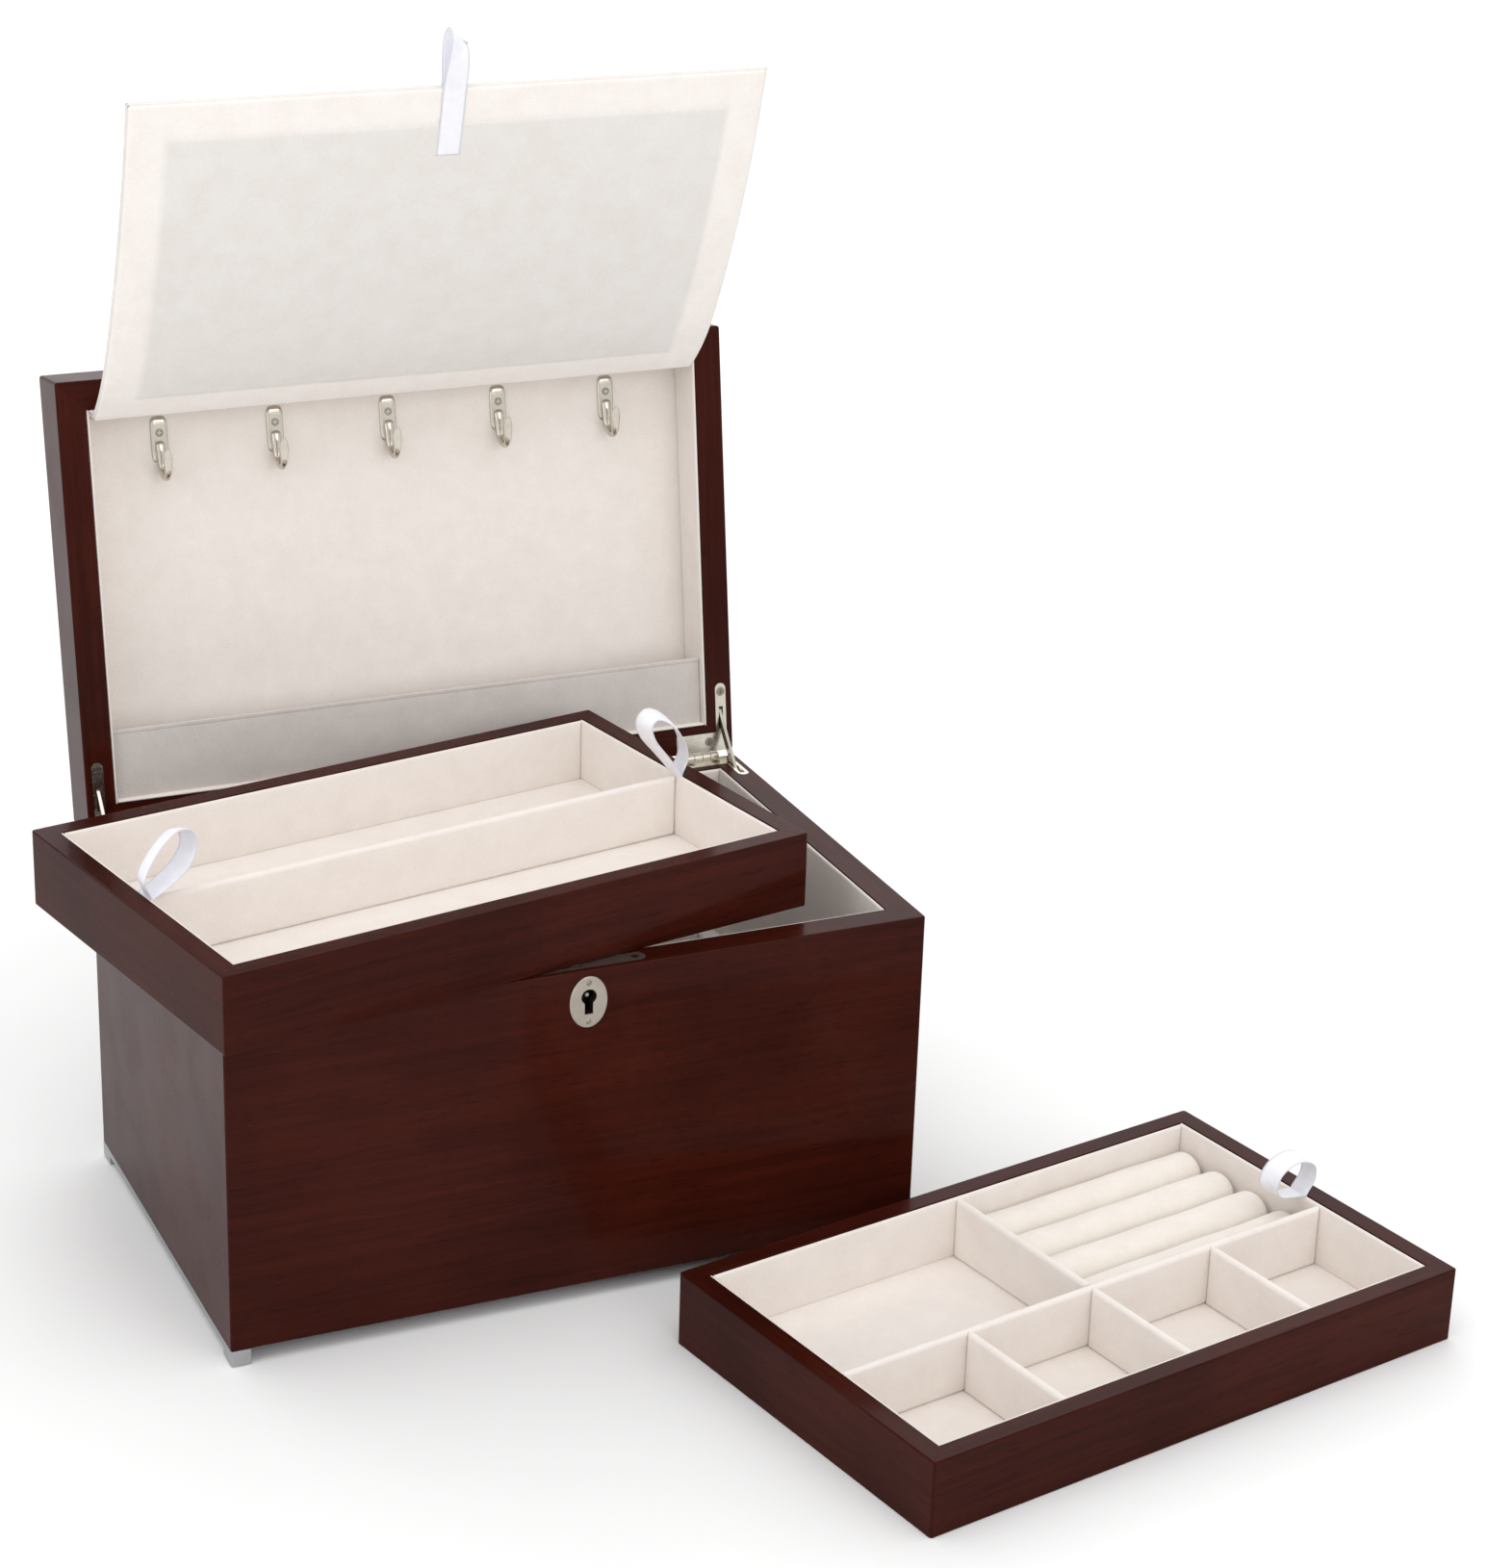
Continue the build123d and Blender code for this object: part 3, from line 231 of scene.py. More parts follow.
def soft_board(box, thin, facing=0, edge=1.3, puff=0.25, waves=0.10, phase=0.0):
    """Suede over card, as two sheets that meet all round the rim. box is the low and high of
    each axis in mm and thin is the axis of its thickness t. Away from the middle plane by
    t/2 * sqrt(1 - (1 - d/edge)^2), d being the way to the nearest side, plus, on the facing
    side or on both, puff times the root of a sine both ways, and slow waves in the fabric."""
    box = np.array(box, float)
    wide = [axis for axis in range(3) if axis != thin]
    edge = min(edge, 0.45 * (box[wide, 1] - box[wide, 0]).min())
    near = edge * np.array([0, 0.03, 0.12, 0.28, 0.5, 0.75, 1.0])
    lines = []
    for axis in wide:
        low, high = box[axis]
        middle = np.linspace(low + edge, high - edge, max(3, int((high - low) / 4)))[1:-1]
        lines.append(np.concatenate([low + near, middle, (high - near)[::-1]]))
    a, b = np.meshgrid(*lines, indexing="ij")
    (a0, a1), (b0, b1) = box[wide[0]], box[wide[1]]
    d = np.minimum(np.minimum(a - a0, a1 - a), np.minimum(b - b0, b1 - b))
    rim = np.sqrt(np.clip(1 - (1 - np.clip(d / edge, 0, 1)) ** 2, 0, 1))
    crown = np.clip(np.sin(pi * (a - a0) / (a1 - a0)) * np.sin(pi * (b - b0) / (b1 - b0)), 0, 1) ** 0.5
    wave = np.sin(a / 19 + phase) * np.sin(b / 14 + 2.1 * phase) + 0.5 * np.sin(a / 7.3 - b / 11 + phase)
    middle, half = box[thin].mean(), np.ptp(box[thin]) / 2
    sheets = []
    for side in (1, -1):
        swell = (puff * crown + waves * wave * crown) if facing in (0, side) else 0
        grid = np.empty((*a.shape, 3))
        grid[..., wide[0]], grid[..., wide[1]] = a, b
        grid[..., thin] = middle + side * rim * (half + swell)
        sheets.append(grid)
    rows, columns = a.shape
    top = np.arange(rows * columns).reshape(rows, columns)
    under = top.copy()
    under[1:-1, 1:-1] = rows * columns + np.arange((rows - 2) * (columns - 2)).reshape(rows - 2, -1)
    quads = [np.stack([g[:-1, :-1], g[1:, :-1], g[1:, 1:], g[:-1, 1:]], -1).reshape(-1, 4)
             for g in (top, under)]
    turned = thin == 1
    quads[1 - turned] = quads[1 - turned][:, ::-1]
    points = np.concatenate([sheets[0].reshape(-1, 3), sheets[1][1:-1, 1:-1].reshape(-1, 3)])
    return points, np.concatenate(quads)


def new_piece(name, shells, place, material, uv=None):
    """One smooth mesh object from shells of points in mm and faces, put in place in metres."""
    points, faces, start = [], [], 0
    for shell_points, shell_faces in shells:
        points.append(shell_points)
        faces.append(shell_faces + start)
        start += len(shell_points)
    points, faces = place(np.concatenate(points)), np.concatenate(faces)
    mesh = bpy.data.meshes.new(name)
    mesh.from_pydata(points.tolist(), [], faces.tolist())
    mesh.polygons.foreach_set("use_smooth", np.ones(len(faces), bool))
    if uv is not None:
        mesh.uv_layers.new(name="cloth").data.foreach_set("uv", uv[faces.ravel()].ravel())
    mesh.materials.append(material)
    mesh.update()
    piece = bpy.data.objects.new(name, mesh)
    bpy.context.scene.collection.objects.link(piece)
    return piece


def in_chest(points):
    """From mm in the chest's frame to metres."""
    return points / 1000


def suede(name, light, dark):
    """Ivory faux suede: brushed clouds about 12 mm across, nap fibres drawn 0.9 mm long."""
    cloth, shader = new_material(name, roughness=0.92, sheen_weight=0.22, sheen_roughness=0.45,
                                 sheen_tint=linear("#FFFFFF"))
    spot = add_node(cloth, "TexCoord").outputs["Object"]
    cloud = add_node(cloth, "TexNoise", {"Vector": spot, "Scale": 80.0, "Detail": 4.0,
                                         "Roughness": 0.6}).outputs["Fac"]
    fibre = add_node(cloth, "TexNoise", {"Vector": spot, "Scale": 1100.0, "Detail": 2.0}).outputs["Fac"]
    blend = add_node(cloth, "Mix", {0: 0.45, 2: cloud, 3: fibre}).outputs[0]
    tint = add_node(cloth, "ValToRGB", {0: blend})
    tint.color_ramp.elements[0].position, tint.color_ramp.elements[1].position = 0.34, 0.66
    tint.color_ramp.elements[0].color = linear(dark)
    tint.color_ramp.elements[1].color = linear(light)
    cloth.node_tree.links.new(tint.outputs[0], shader.inputs["Base Color"])
    nap = add_node(cloth, "Math", {0: fibre, 1: cloud}, operation="ADD").outputs[0]
    pile = add_node(cloth, "Bump", {"Height": nap, "Strength": 0.5, "Distance": 0.00025}).outputs[0]
    cloth.node_tree.links.new(pile, shader.inputs["Normal"])
    return cloth


def suede_piece(name, shells, place, body, material, *nodes, fill=0.3):
    """A padded suede piece that stands for its CAD nodes and rides on their body."""
    piece = new_piece(name, shells, place, material)
    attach(piece, body)
    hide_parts(*nodes)
    return piece


def lining_walls(x, y, low, high, thick, phase):
    """Four wall boards inside a box of half sizes x, y: long boards between the end boards."""
    return [
        soft_board([[-x, -x + thick], [-y, y], [low, high]], 0, 1, phase=phase),
        soft_board([[x - thick, x], [-y, y], [low, high]], 0, -1, phase=phase + 1),
        soft_board([[-x + thick, x - thick], [-y, -y + thick], [low, high]], 1, 1, phase=phase + 2),
        soft_board([[-x + thick, x - thick], [y - thick, y], [low, high]], 1, -1, phase=phase + 3),
    ]


ivory_suede = suede("ivory_faux_suede", "#F0E9E3", "#E9E1DA")
box_x, box_y, floor_x, floor_y = 151.4, 92.9, 151.3, 92.8
rest_outer, rest_inner, rest_y = 149.8, 139.8, 91.2
wall_card, floor_low, floor_high, rest_foot = 1.5, -0.8, 0.5, 0.6
floor_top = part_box("chest_floor_liner")[1].z * 1000
rim_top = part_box("chest_wall_liners")[1].z * 1000
suede_piece("chest_lining_walls", lining_walls(box_x, box_y, floor_top, rim_top, wall_card, 0.4), in_chest,
            "chest", ivory_suede, "chest_wall_liners")
suede_piece("chest_lining_floor",
            [soft_board([[-floor_x, floor_x], [-floor_y, floor_y],
                         [floor_top + floor_low, floor_top + floor_high]], 2, 1)],
            in_chest, "chest", ivory_suede, "chest_floor_liner")
board_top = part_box("tray_rest_boards")[1].z * 1000
suede_piece("tray_rests",
            [soft_board([sorted([side * rest_outer, side * rest_inner]), [-rest_y, rest_y],
                         [floor_top + rest_foot, board_top]], 0, edge=2.2, puff=0.0, phase=side)
             for side in (-1, 1)],
            in_chest, "chest", ivory_suede, "tray_rest_boards")

# ---------------------------------------------------------------- lid lining
# The lid's panel and sides are lined with the same suede boards, wrapped over card and glued
# in. The necklaces hang from five hooks against the big one.

def in_lid(points):
    """From mm in the shut lid's frame (z up from its rim face) to metres in the open lid."""
    x, y, z = points.T / 1000
    return np.stack([x, lid_origin.y + y * cos(lid_swing) + z * sin(lid_swing),
                     lid_origin.z - y * sin(lid_swing) + z * cos(lid_swing)], -1)


side_low, side_high, side_card = 0.3, 22.9, 1.4
suede_piece("lid_lining_sides", lining_walls(box_x, box_y, side_low, side_high, side_card, 2.2), in_lid,
            "lid", ivory_suede, "lid_side_liners")
panel_board = [[-floor_x, floor_x], [-floor_y, floor_y], [23.0, 24.0]]
suede_piece("lid_lining_panel", [soft_board(panel_board, 2, -1, edge=1.0, puff=0.2)], in_lid,
            "lid", ivory_suede, "lid_panel_liner")

# ---------------------------------------------------------------- necklace pocket
# A card strip across the lower part of the lid, covered in a smoother, greyer satin-backed
# suede with a folded top edge. The ends of the necklaces hang into it.
grey_suede = suede("pearl_grey_suede", "#D3CBC5", "#C8C0BA")
pocket_x = [-149.9, 149.9]
pocket_face = soft_board([pocket_x, [58.9, 92.0], [4.1, 6.0]], 2, -1, edge=1.0, puff=0.5, waves=0.05)
pocket_fold = soft_board([pocket_x, [58.5, 60.6], [3.75, 5.0]], 2, -1, edge=0.5, puff=0.0, waves=0.0)
suede_piece("pocket_card", [pocket_face, pocket_fold], in_lid, "lid", grey_suede, "necklace_pocket",
            fill=0.5)

# ---------------------------------------------------------------- necklace flap
# A flexible card, covered front and back, that folds up over the hooks on a fabric crease
# glued to a batten under the lid's front rail. The front has a turned-in border of ivory
# suede round a greyer panel, which lies half a millimetre proud inside a pressed line.
crease = Vector(next(j["pos_m"] for j in frame["joints"] if j["name"] == "flap_fold")) * 1000
card_length, root_length = 181.0, 45.0
first_angle, root_turn, tip_turn = radians(139.0), radians(20.0), radians(14.0)


def card_line(s):
    """The card's bend seen from its side, at the length s from the crease: the direction turns
    at a steady 20 degrees over the root's 45 mm and 14 degrees over the rest, so the point is
    two arcs, each (sin(a0) - sin(a)) / k and (cos(a) - cos(a0)) / k. Returns y, z and angle."""
    tip_length = card_length - root_length
    k_root, k_tip = root_turn / root_length, tip_turn / tip_length
    near, far = np.clip(s, None, root_length), np.clip(s - root_length, 0, None)
    bend = first_angle - k_root * near
    y = crease.y + (np.sin(first_angle) - np.sin(bend)) / k_root
    z = crease.z + (np.cos(bend) - np.cos(first_angle)) / k_root
    angle = bend - k_tip * far
    return y + (np.sin(bend) - np.sin(angle)) / k_tip, z + (np.cos(angle) - np.cos(bend)) / k_tip, angle


def on_card(points):
    """x stays, y is the length along the card and z the height over its front, all in mm."""
    y, z, angle = card_line(points[:, 1])
    lift = points[:, 2]
    return np.stack([points[:, 0], y - lift * np.sin(angle), z + lift * np.cos(angle)], -1) / 1000


def panelled(shell, half_width, low, high, margin, step):
    """Adds the inner panel to a board's front: step high inside margin, with a line round it."""
    points, faces = shell
    x, s, lift = points.T
    inside = np.minimum(np.minimum(half_width - margin - np.abs(x), s - low - margin), high - margin - s)
    rise = step / (1 + np.exp(-inside / 0.35)) - 0.35 * np.exp(-(inside / 0.9) ** 2)
    points[:, 2] = np.where(lift > 0.2, lift + rise, lift)
    return points, faces


def flap_suede(name, half_width, low, high, margin):
    """Ivory suede with a greyer inner panel; the colour changes across the panel's edge."""
    cloth = suede(name, "#F6F1ED", "#EFE8E2")
    shader = cloth.node_tree.nodes["Principled BSDF"]
    across = add_node(cloth, "UVMap", uv_map="cloth").outputs[0]
    axes = add_node(cloth, "SeparateXYZ", {0: across}).outputs
    width_way = add_node(cloth, "Math", {0: half_width - margin, 1: add_node(
        cloth, "Math", {0: axes[0]}, operation="ABSOLUTE").outputs[0]}, operation="SUBTRACT").outputs[0]
    up_way = add_node(cloth, "Math", {0: axes[1], 1: low + margin}, operation="SUBTRACT").outputs[0]
    down_way = add_node(cloth, "Math", {0: high - margin, 1: axes[1]}, operation="SUBTRACT").outputs[0]
    inside = add_node(cloth, "Math", {0: width_way, 1: up_way}, operation="MINIMUM").outputs[0]
    inside = add_node(cloth, "Math", {0: inside, 1: down_way}, operation="MINIMUM").outputs[0]
    panel = add_node(cloth, "MapRange", {0: inside, 1: -0.0012, 2: 0.0016}).outputs[0]
    ivory = shader.inputs["Base Color"].links[0].from_socket
    grey = add_node(cloth, "Mix", {0: 1.0, 6: ivory, 7: linear("#EFF1F1")}, data_type="RGBA",
                    blend_type="MULTIPLY").outputs[2]
    both = add_node(cloth, "Mix", {0: panel, 6: ivory, 7: grey}, data_type="RGBA").outputs[2]
    cloth.node_tree.links.new(both, shader.inputs["Base Color"])
    return cloth


def fine_board(half_width, low, high, bottom, top):
    """Like soft_board with a grid of 1.2 mm, fine enough for the flap's pressed line, and with
    both sheets following one slow wave, as thin card does."""
    across = np.linspace(-half_width, half_width, 250)
    along = np.linspace(low, high, 152)
    a, b = np.meshgrid(across, along, indexing="ij")
    d = np.minimum(half_width - np.abs(a), np.minimum(b - low, high - b))
    rim = np.sqrt(np.clip(1 - (1 - np.clip(d / 1.2, 0, 1)) ** 2, 0, 1))
    middle, half = (bottom + top) / 2, (top - bottom) / 2
    wave = 0.12 * np.sin(a / 31 + 0.6) * np.sin(b / 27) + 0.05 * np.sin(a / 9 - b / 13)
    front = np.stack([a, b, middle + rim * half + wave * rim], -1)
    rear = np.stack([a, b, middle - rim * half + wave * rim], -1)
    rows, columns = a.shape
    top_index = np.arange(rows * columns).reshape(rows, columns)
    under = top_index.copy()
    under[1:-1, 1:-1] = rows * columns + np.arange((rows - 2) * (columns - 2)).reshape(rows - 2, -1)
    quads = [np.stack([g[:-1, :-1], g[1:, :-1], g[1:, 1:], g[:-1, 1:]], -1).reshape(-1, 4)
             for g in (top_index, under)]
    return (np.concatenate([front.reshape(-1, 3), rear[1:-1, 1:-1].reshape(-1, 3)]),
            np.concatenate([quads[0], quads[1][:, ::-1]]))


# The rear shell's map lies far outside the panel, so the whole back is plain ivory.
front_half, front_low, front_high, border = 148.6, 0.8, 180.4, 17.0
far_from_panel = -9e3
front_shell = panelled(fine_board(front_half, front_low, front_high, -0.1, 1.2),
                       front_half, front_low, front_high, border, 0.35)
rear_half, rear_low, rear_under, rear_over = 149.1, 0.5, -1.2, -0.15
rear_shell = fine_board(rear_half, rear_low, card_length, rear_under, rear_over)
shell_uv = np.concatenate([front_shell[0][:, :2], np.full((len(rear_shell[0]), 2), far_from_panel)]) / 1000
flap = new_piece("flap_card", [front_shell, rear_shell], on_card, flap_suede(
    "flap_suede", front_half / 1000, front_low / 1000, front_high / 1000, border / 1000), uv=shell_uv)
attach(flap, "flap")
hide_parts("necklace_flap")

# The crease is one strip of the same suede, glued to the batten and to the back of the card.
strip_lap, strip_half = 9.0, 148.0
strip_s, strip_x = np.meshgrid(np.linspace(-strip_lap, strip_lap, 37),
                               np.linspace(-strip_half, strip_half, 60), indexing="ij")
card_y, card_z, card_angle = card_line(np.clip(strip_s, 0, None))
batten_face = in_lid(np.array([[0.0, 2.3 - box_y, 0.9], [0.0, 2.3 - box_y, 10.0]]))
down = (batten_face[1] - batten_face[0]) / np.linalg.norm(batten_face[1] - batten_face[0])
on_batten = np.clip(-strip_s, 0, None)
# It lies 1.5 mm behind the card's middle, and takes 0.9 of its lap to go down the batten.
behind, lap_share = 1.5, 0.9
strip_y = np.where(strip_s < 0, crease.y + lap_share * down[1] * on_batten,
                   card_y + behind * np.sin(card_angle))
strip_z = np.where(strip_s < 0, crease.z + lap_share * down[2] * on_batten,
                   card_z - behind * np.cos(card_angle))
rows, columns = strip_s.shape
strip_index = np.arange(rows * columns).reshape(rows, columns)
strip_faces = np.stack([strip_index[:-1, :-1], strip_index[1:, :-1], strip_index[1:, 1:],
                        strip_index[:-1, 1:]], -1).reshape(-1, 4)
strip = new_piece("flap_crease", [(np.stack([strip_x, strip_y, strip_z], -1).reshape(-1, 3), strip_faces)],
                  in_chest, ivory_suede)
wall = strip.modifiers.new("cloth_thickness", "SOLIDIFY")
wall.thickness, wall.offset = 0.0004, 0.0
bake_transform(strip)
batten = [[-rear_half, rear_half], [-92.75, -90.4], [0.6, 10.6]]
suede_piece("batten_cover", [soft_board(batten, 1, 1, puff=0.1)],
            in_lid, "lid", ivory_suede, "flap_batten")

# ---------------------------------------------------------------- trays
# Both trays are lined like the chest. The upper one has one long divider, the lower one a
# cross of dividers: a large compartment, four small ones and a well for rings. Dividers are
# card boards 4 mm thick, padded and wrapped, with round tops.

def in_tray(middle):
    """A function from mm in a tray's own frame to metres: turned 11 degrees and moved."""
    def placed(points):
        x, y, z = points.T / 1000
        return np.stack([middle.x + x * cos(tray_turn) - y * sin(tray_turn),
                         middle.y + x * sin(tray_turn) + y * cos(tray_turn), middle.z + z], -1)
    return placed


well_x, well_y, well_floor_x, well_floor_y = 138.4, 81.9, 138.3, 81.8
liner_foot, liner_top, liner_card, floor_card = 5.1, 35.7, 1.7, [4.0, 5.4]
divider_foot, divider_top, half_divider, long_half = 5.4, 35.0, 2.0, 136.6
for tray, middle in (("upper_tray", upper_centre), ("lower_tray", lower_centre)):
    suede_piece(f"{tray}_lining_walls",
                lining_walls(well_x, well_y, liner_foot, liner_top, liner_card, len(tray) + middle.x * 9),
                in_tray(middle), tray, ivory_suede, f"{tray}_wall_liners")
    suede_piece(f"{tray}_lining_floor",
                [soft_board([[-well_floor_x, well_floor_x], [-well_floor_y, well_floor_y], floor_card],
                            2, 1, puff=0.3, phase=middle.x)],
                in_tray(middle), tray, ivory_suede, f"{tray}_floor_liner")

standing = [divider_foot, divider_top]
suede_piece("upper_tray_divider_board",
            [soft_board([[-long_half, long_half], [-half_divider, half_divider], standing], 1, edge=2.0,
                        puff=0.25)],
            in_tray(upper_centre), "upper_tray", ivory_suede, "upper_tray_divider", fill=0.5)
long_front, long_back, cross_back = -16.0, -12.0, 80.1
inner_length, divider = 275.0, 2 * half_divider
small_pitch = (inner_length + divider) / 4
small_xs = [i * small_pitch - inner_length / 2 - half_divider for i in (1, 2, 3)]
suede_piece("lower_tray_divider_boards",
            [soft_board([[-long_half, long_half], [long_front, long_back], standing], 1, edge=2.0, puff=0.1),
             soft_board([[-half_divider, half_divider], [long_back - 0.1, cross_back], standing], 0,
                        edge=2.0, puff=0.1, phase=1)]
            + [soft_board([[x - half_divider, x + half_divider], [-cross_back, long_front + 0.1],
                           [divider_foot, divider_top - 0.2]], 0, edge=2.0, puff=0.1, phase=x)
               for x in small_xs],
            in_tray(lower_centre), "lower_tray", ivory_suede, "lower_tray_dividers", fill=0.5)

# ---------------------------------------------------------------- ring rolls
# Four foam rolls covered in suede lie side by side in the right back well of the lower tray,
# pressed together so that rings are held between them. Their ends are drawn in and domed.

def foam_roll(start, end, y, z, radius, phase):
    """A roll along x: radius times the root of (1 - (|p| - 0.9)^2 / 0.01) past |p| = 0.9 of
    the half length, times small swells along it, and a little flat below and at its sides."""
    p = np.concatenate([-1 + 0.1 * np.linspace(0, 1, 12) ** 1.6, np.linspace(-0.88, 0.88, 60),
                        1 - 0.1 * np.linspace(1, 0, 12) ** 1.6])
    angle = np.linspace(0, 2 * pi, 48, endpoint=False)
    p, angle = np.meshgrid(p, angle, indexing="ij")
    dome = np.sqrt(np.clip(1 - (np.clip(np.abs(p) - 0.9, 0, None) / 0.1) ** 2, 0, 1))
    swell = 1 + 0.012 * np.sin(9 * p + phase) + 0.008 * np.sin(3 * angle + 5 * p + phase)
    flat = 1 - 0.05 * np.clip(-np.sin(angle), 0, 1) ** 4 - 0.03 * np.cos(angle) ** 4
    r = radius * (0.04 + 0.96 * dome) * swell * flat
    x = (start + end) / 2 + p * (end - start) / 2
    grid = np.stack([x, y + r * np.cos(angle), z + r * np.sin(angle)], -1)
    rows, columns = p.shape
    index = np.arange(rows * columns).reshape(rows, columns)
    beside = np.roll(index, -1, 1)
    quads = np.stack([index[:-1], beside[:-1], beside[1:], index[1:]], -1).reshape(-1, 4)
    ends = np.array([grid[0].mean(0), grid[-1].mean(0)])
    tips = [(beside[0], index[0], rows * columns), (index[-1], beside[-1], rows * columns + 1)]
    caps = [np.stack([first, second, np.full(columns, tip)], -1) for first, second, tip in tips]
    return np.concatenate([grid.reshape(-1, 3), ends]), quads, np.concatenate(caps)


roll_count, roll_start, roll_end, well_front = 4, 3.0, 136.0, -12.0
row_depth = (well_y - 1.0 - well_front) / roll_count
roll_radius = (row_depth - 1.2) / 2
roll_points, roll_faces = [], []
for index in range(roll_count):
    points, quads, caps = foam_roll(roll_start, roll_end, well_front + (index + 0.5) * row_depth,
                                    5.6 + roll_radius * 0.95, roll_radius, 1.3 * index)
    shift = sum(len(earlier) for earlier in roll_points)
    roll_points.append(points)
    roll_faces += (quads + shift).tolist() + (caps + shift).tolist()
roll_mesh = bpy.data.meshes.new("ring_roll_pads")
roll_mesh.from_pydata(in_tray(lower_centre)(np.concatenate(roll_points)).tolist(), [], roll_faces)
roll_mesh.polygons.foreach_set("use_smooth", np.ones(len(roll_faces), bool))
roll_mesh.materials.append(suede("ring_roll_suede", "#EFE8E0", "#E7DFD5"))
rolls = bpy.data.objects.new("ring_roll_pads", roll_mesh)
bpy.context.scene.collection.objects.link(rolls)
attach(rolls, "lower_tray")
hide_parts("ring_rolls")

# ---------------------------------------------------------------- ribbons
# White satin ribbon, 11 mm wide. A loop of it is glued behind the lining at both ends of each
# tray, to lift it by, and one is sewn to the flap's free edge, its front tail 33 mm long.

def satin():
    """Satin ribbon: warp threads along it, drawn 0.45 mm apart, a woven edge each side, and painted sheen:
    patches about 6 mm across that lighten and darken its colour.
    """
    cloth, shader = new_material("white_satin_ribbon", roughness=0.42, sheen_weight=0.35,
                                 sheen_roughness=0.3, anisotropic=0.5)
    along = add_node(cloth, "UVMap", uv_map="cloth").outputs[0]
    axes = add_node(cloth, "SeparateXYZ", {0: along}).outputs
    threads = add_node(cloth, "Math", {0: axes[0], 1: 2 * pi / 0.00045}, operation="MULTIPLY").outputs[0]
    threads = add_node(cloth, "Math", {0: threads}, operation="SINE").outputs[0]
    edge_way = add_node(cloth, "Math", {0: axes[0]}, operation="ABSOLUTE").outputs[0]
    selvedge = add_node(cloth, "MapRange", {0: edge_way, 1: 0.0047, 2: 0.0050}).outputs[0]
    # Painted sheen: this noise makes the ribbon's colour lighter and darker in patches about 6 mm across,
    # standing in for the satin's lustre.
    sheen = add_node(cloth, "TexNoise", {"Vector": along, "Scale": 160.0, "Detail": 2.0}).outputs["Fac"]
    tint = add_node(cloth, "ValToRGB", {0: sheen})
    tint.color_ramp.elements[0].color = linear("#E9EAF2")
    tint.color_ramp.elements[1].color = linear("#FBFBFF")
    white = add_node(cloth, "Mix", {0: selvedge, 6: tint.outputs[0], 7: linear("#E2E3EA")},
                     data_type="RGBA").outputs[2]
    cloth.node_tree.links.new(white, shader.inputs["Base Color"])
    weave = add_node(cloth, "Bump", {"Height": threads, "Strength": 0.35, "Distance": 0.00005}).outputs[0]
    cloth.node_tree.links.new(weave, shader.inputs["Normal"])
    return cloth


def smooth_path(knots, count):
    """A Catmull-Rom curve through the knots: on each span, for t from 0 to 1,
    0.5 * (2 p1 + (p2 - p0) t + (2 p0 - 5 p1 + 4 p2 - p3) t^2 + (3 p1 - p0 - 3 p2 + p3) t^3)."""
    knots = np.array(knots, float)
    padded = np.concatenate([2 * knots[:1] - knots[1:2], knots, 2 * knots[-1:] - knots[-2:-1]])
    t = np.linspace(0, len(knots) - 1, count)
    span = np.minimum(t.astype(int), len(knots) - 2)
    t = (t - span)[:, None]
    p0, p1, p2, p3 = (padded[span + i] for i in range(4))
    return 0.5 * (2 * p1 + (p2 - p0) * t + (2 * p0 - 5 * p1 + 4 * p2 - p3) * t ** 2
                  + (3 * p1 - p0 - 3 * p2 + p3) * t ** 3)


half_ribbon, ribbon_thick = 5.5, 0.0003


def ribbon_strip(path, twist, cup):
    """A strip 11 mm wide along path (x, z in mm): its width runs along y, turned by twist
    about the path, and it cups by cup times the square of the way from its middle."""
    ahead = np.gradient(path, axis=0)
    ahead /= np.linalg.norm(ahead, axis=1)[:, None]
    normal = np.stack([ahead[:, 1], np.zeros(len(path)), -ahead[:, 0]], -1)
    level = np.tile([0.0, 1.0, 0.0], (len(path), 1))
    across = level * np.cos(twist)[:, None] + normal * np.sin(twist)[:, None]
    bulge = normal * np.cos(twist)[:, None] - level * np.sin(twist)[:, None]
    w = np.linspace(-half_ribbon, half_ribbon, 9)
    line = np.stack([path[:, 0], np.zeros(len(path)), path[:, 1]], -1)
    dip = cup * (w[None, :, None] / half_ribbon) ** 2 * bulge[:, None]
    grid = line[:, None] + w[None, :, None] * across[:, None] + dip
    index = np.arange(len(path) * len(w)).reshape(-1, len(w))
    quads = np.stack([index[:-1, :-1], index[1:, :-1], index[1:, 1:], index[:-1, 1:]], -1).reshape(-1, 4)
    run = np.concatenate([[0], np.cumsum(np.linalg.norm(np.diff(path, axis=0), axis=1))])
    uv = np.stack(np.broadcast_arrays(w[None, :], run[:, None]), -1).reshape(-1, 2) / 1000
    return grid.reshape(-1, 3), quads, uv, run[-1]


white_satin = satin()


def ribbon_piece(name, path, twist, cup, place, body):
    """One ribbon loop as a sheet of cloth, 0.3 mm thick."""
    points, quads, uv, length = ribbon_strip(path, twist, cup)
    piece = new_piece(name, [(points, quads)], place, white_satin, uv=uv)
    solid = piece.modifiers.new("cloth_thickness", "SOLIDIFY")
    solid.thickness, solid.offset = ribbon_thick, 0.0
    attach(piece, body)
    return piece


count = 90
turn = np.sin(np.linspace(0, pi, count))
left_loop = smooth_path([(-137.0, 31), (-137.4, 37), (-139.5, 45), (-133, 56), (-124, 63.5), (-117.2, 62),
                         (-116.2, 54), (-121, 46), (-130, 39.5), (-136.9, 35.6), (-137.3, 31)], count)
right_loop = smooth_path([(137.2, 31), (136.6, 36), (129, 46), (121, 56), (118.6, 64), (122.5, 68.4),
                          (129, 66.5), (136, 60), (141.2, 51), (141.5, 43), (138.2, 36.5),
                          (137.5, 31)], count)
upper_left = ribbon_piece("ribbon_upper_left", left_loop, 0.30 * turn, 0.5, in_tray(upper_centre),
                          "upper_tray")
ribbon_piece("ribbon_upper_right", right_loop, -0.25 * turn, 0.5, in_tray(upper_centre),
             "upper_tray")
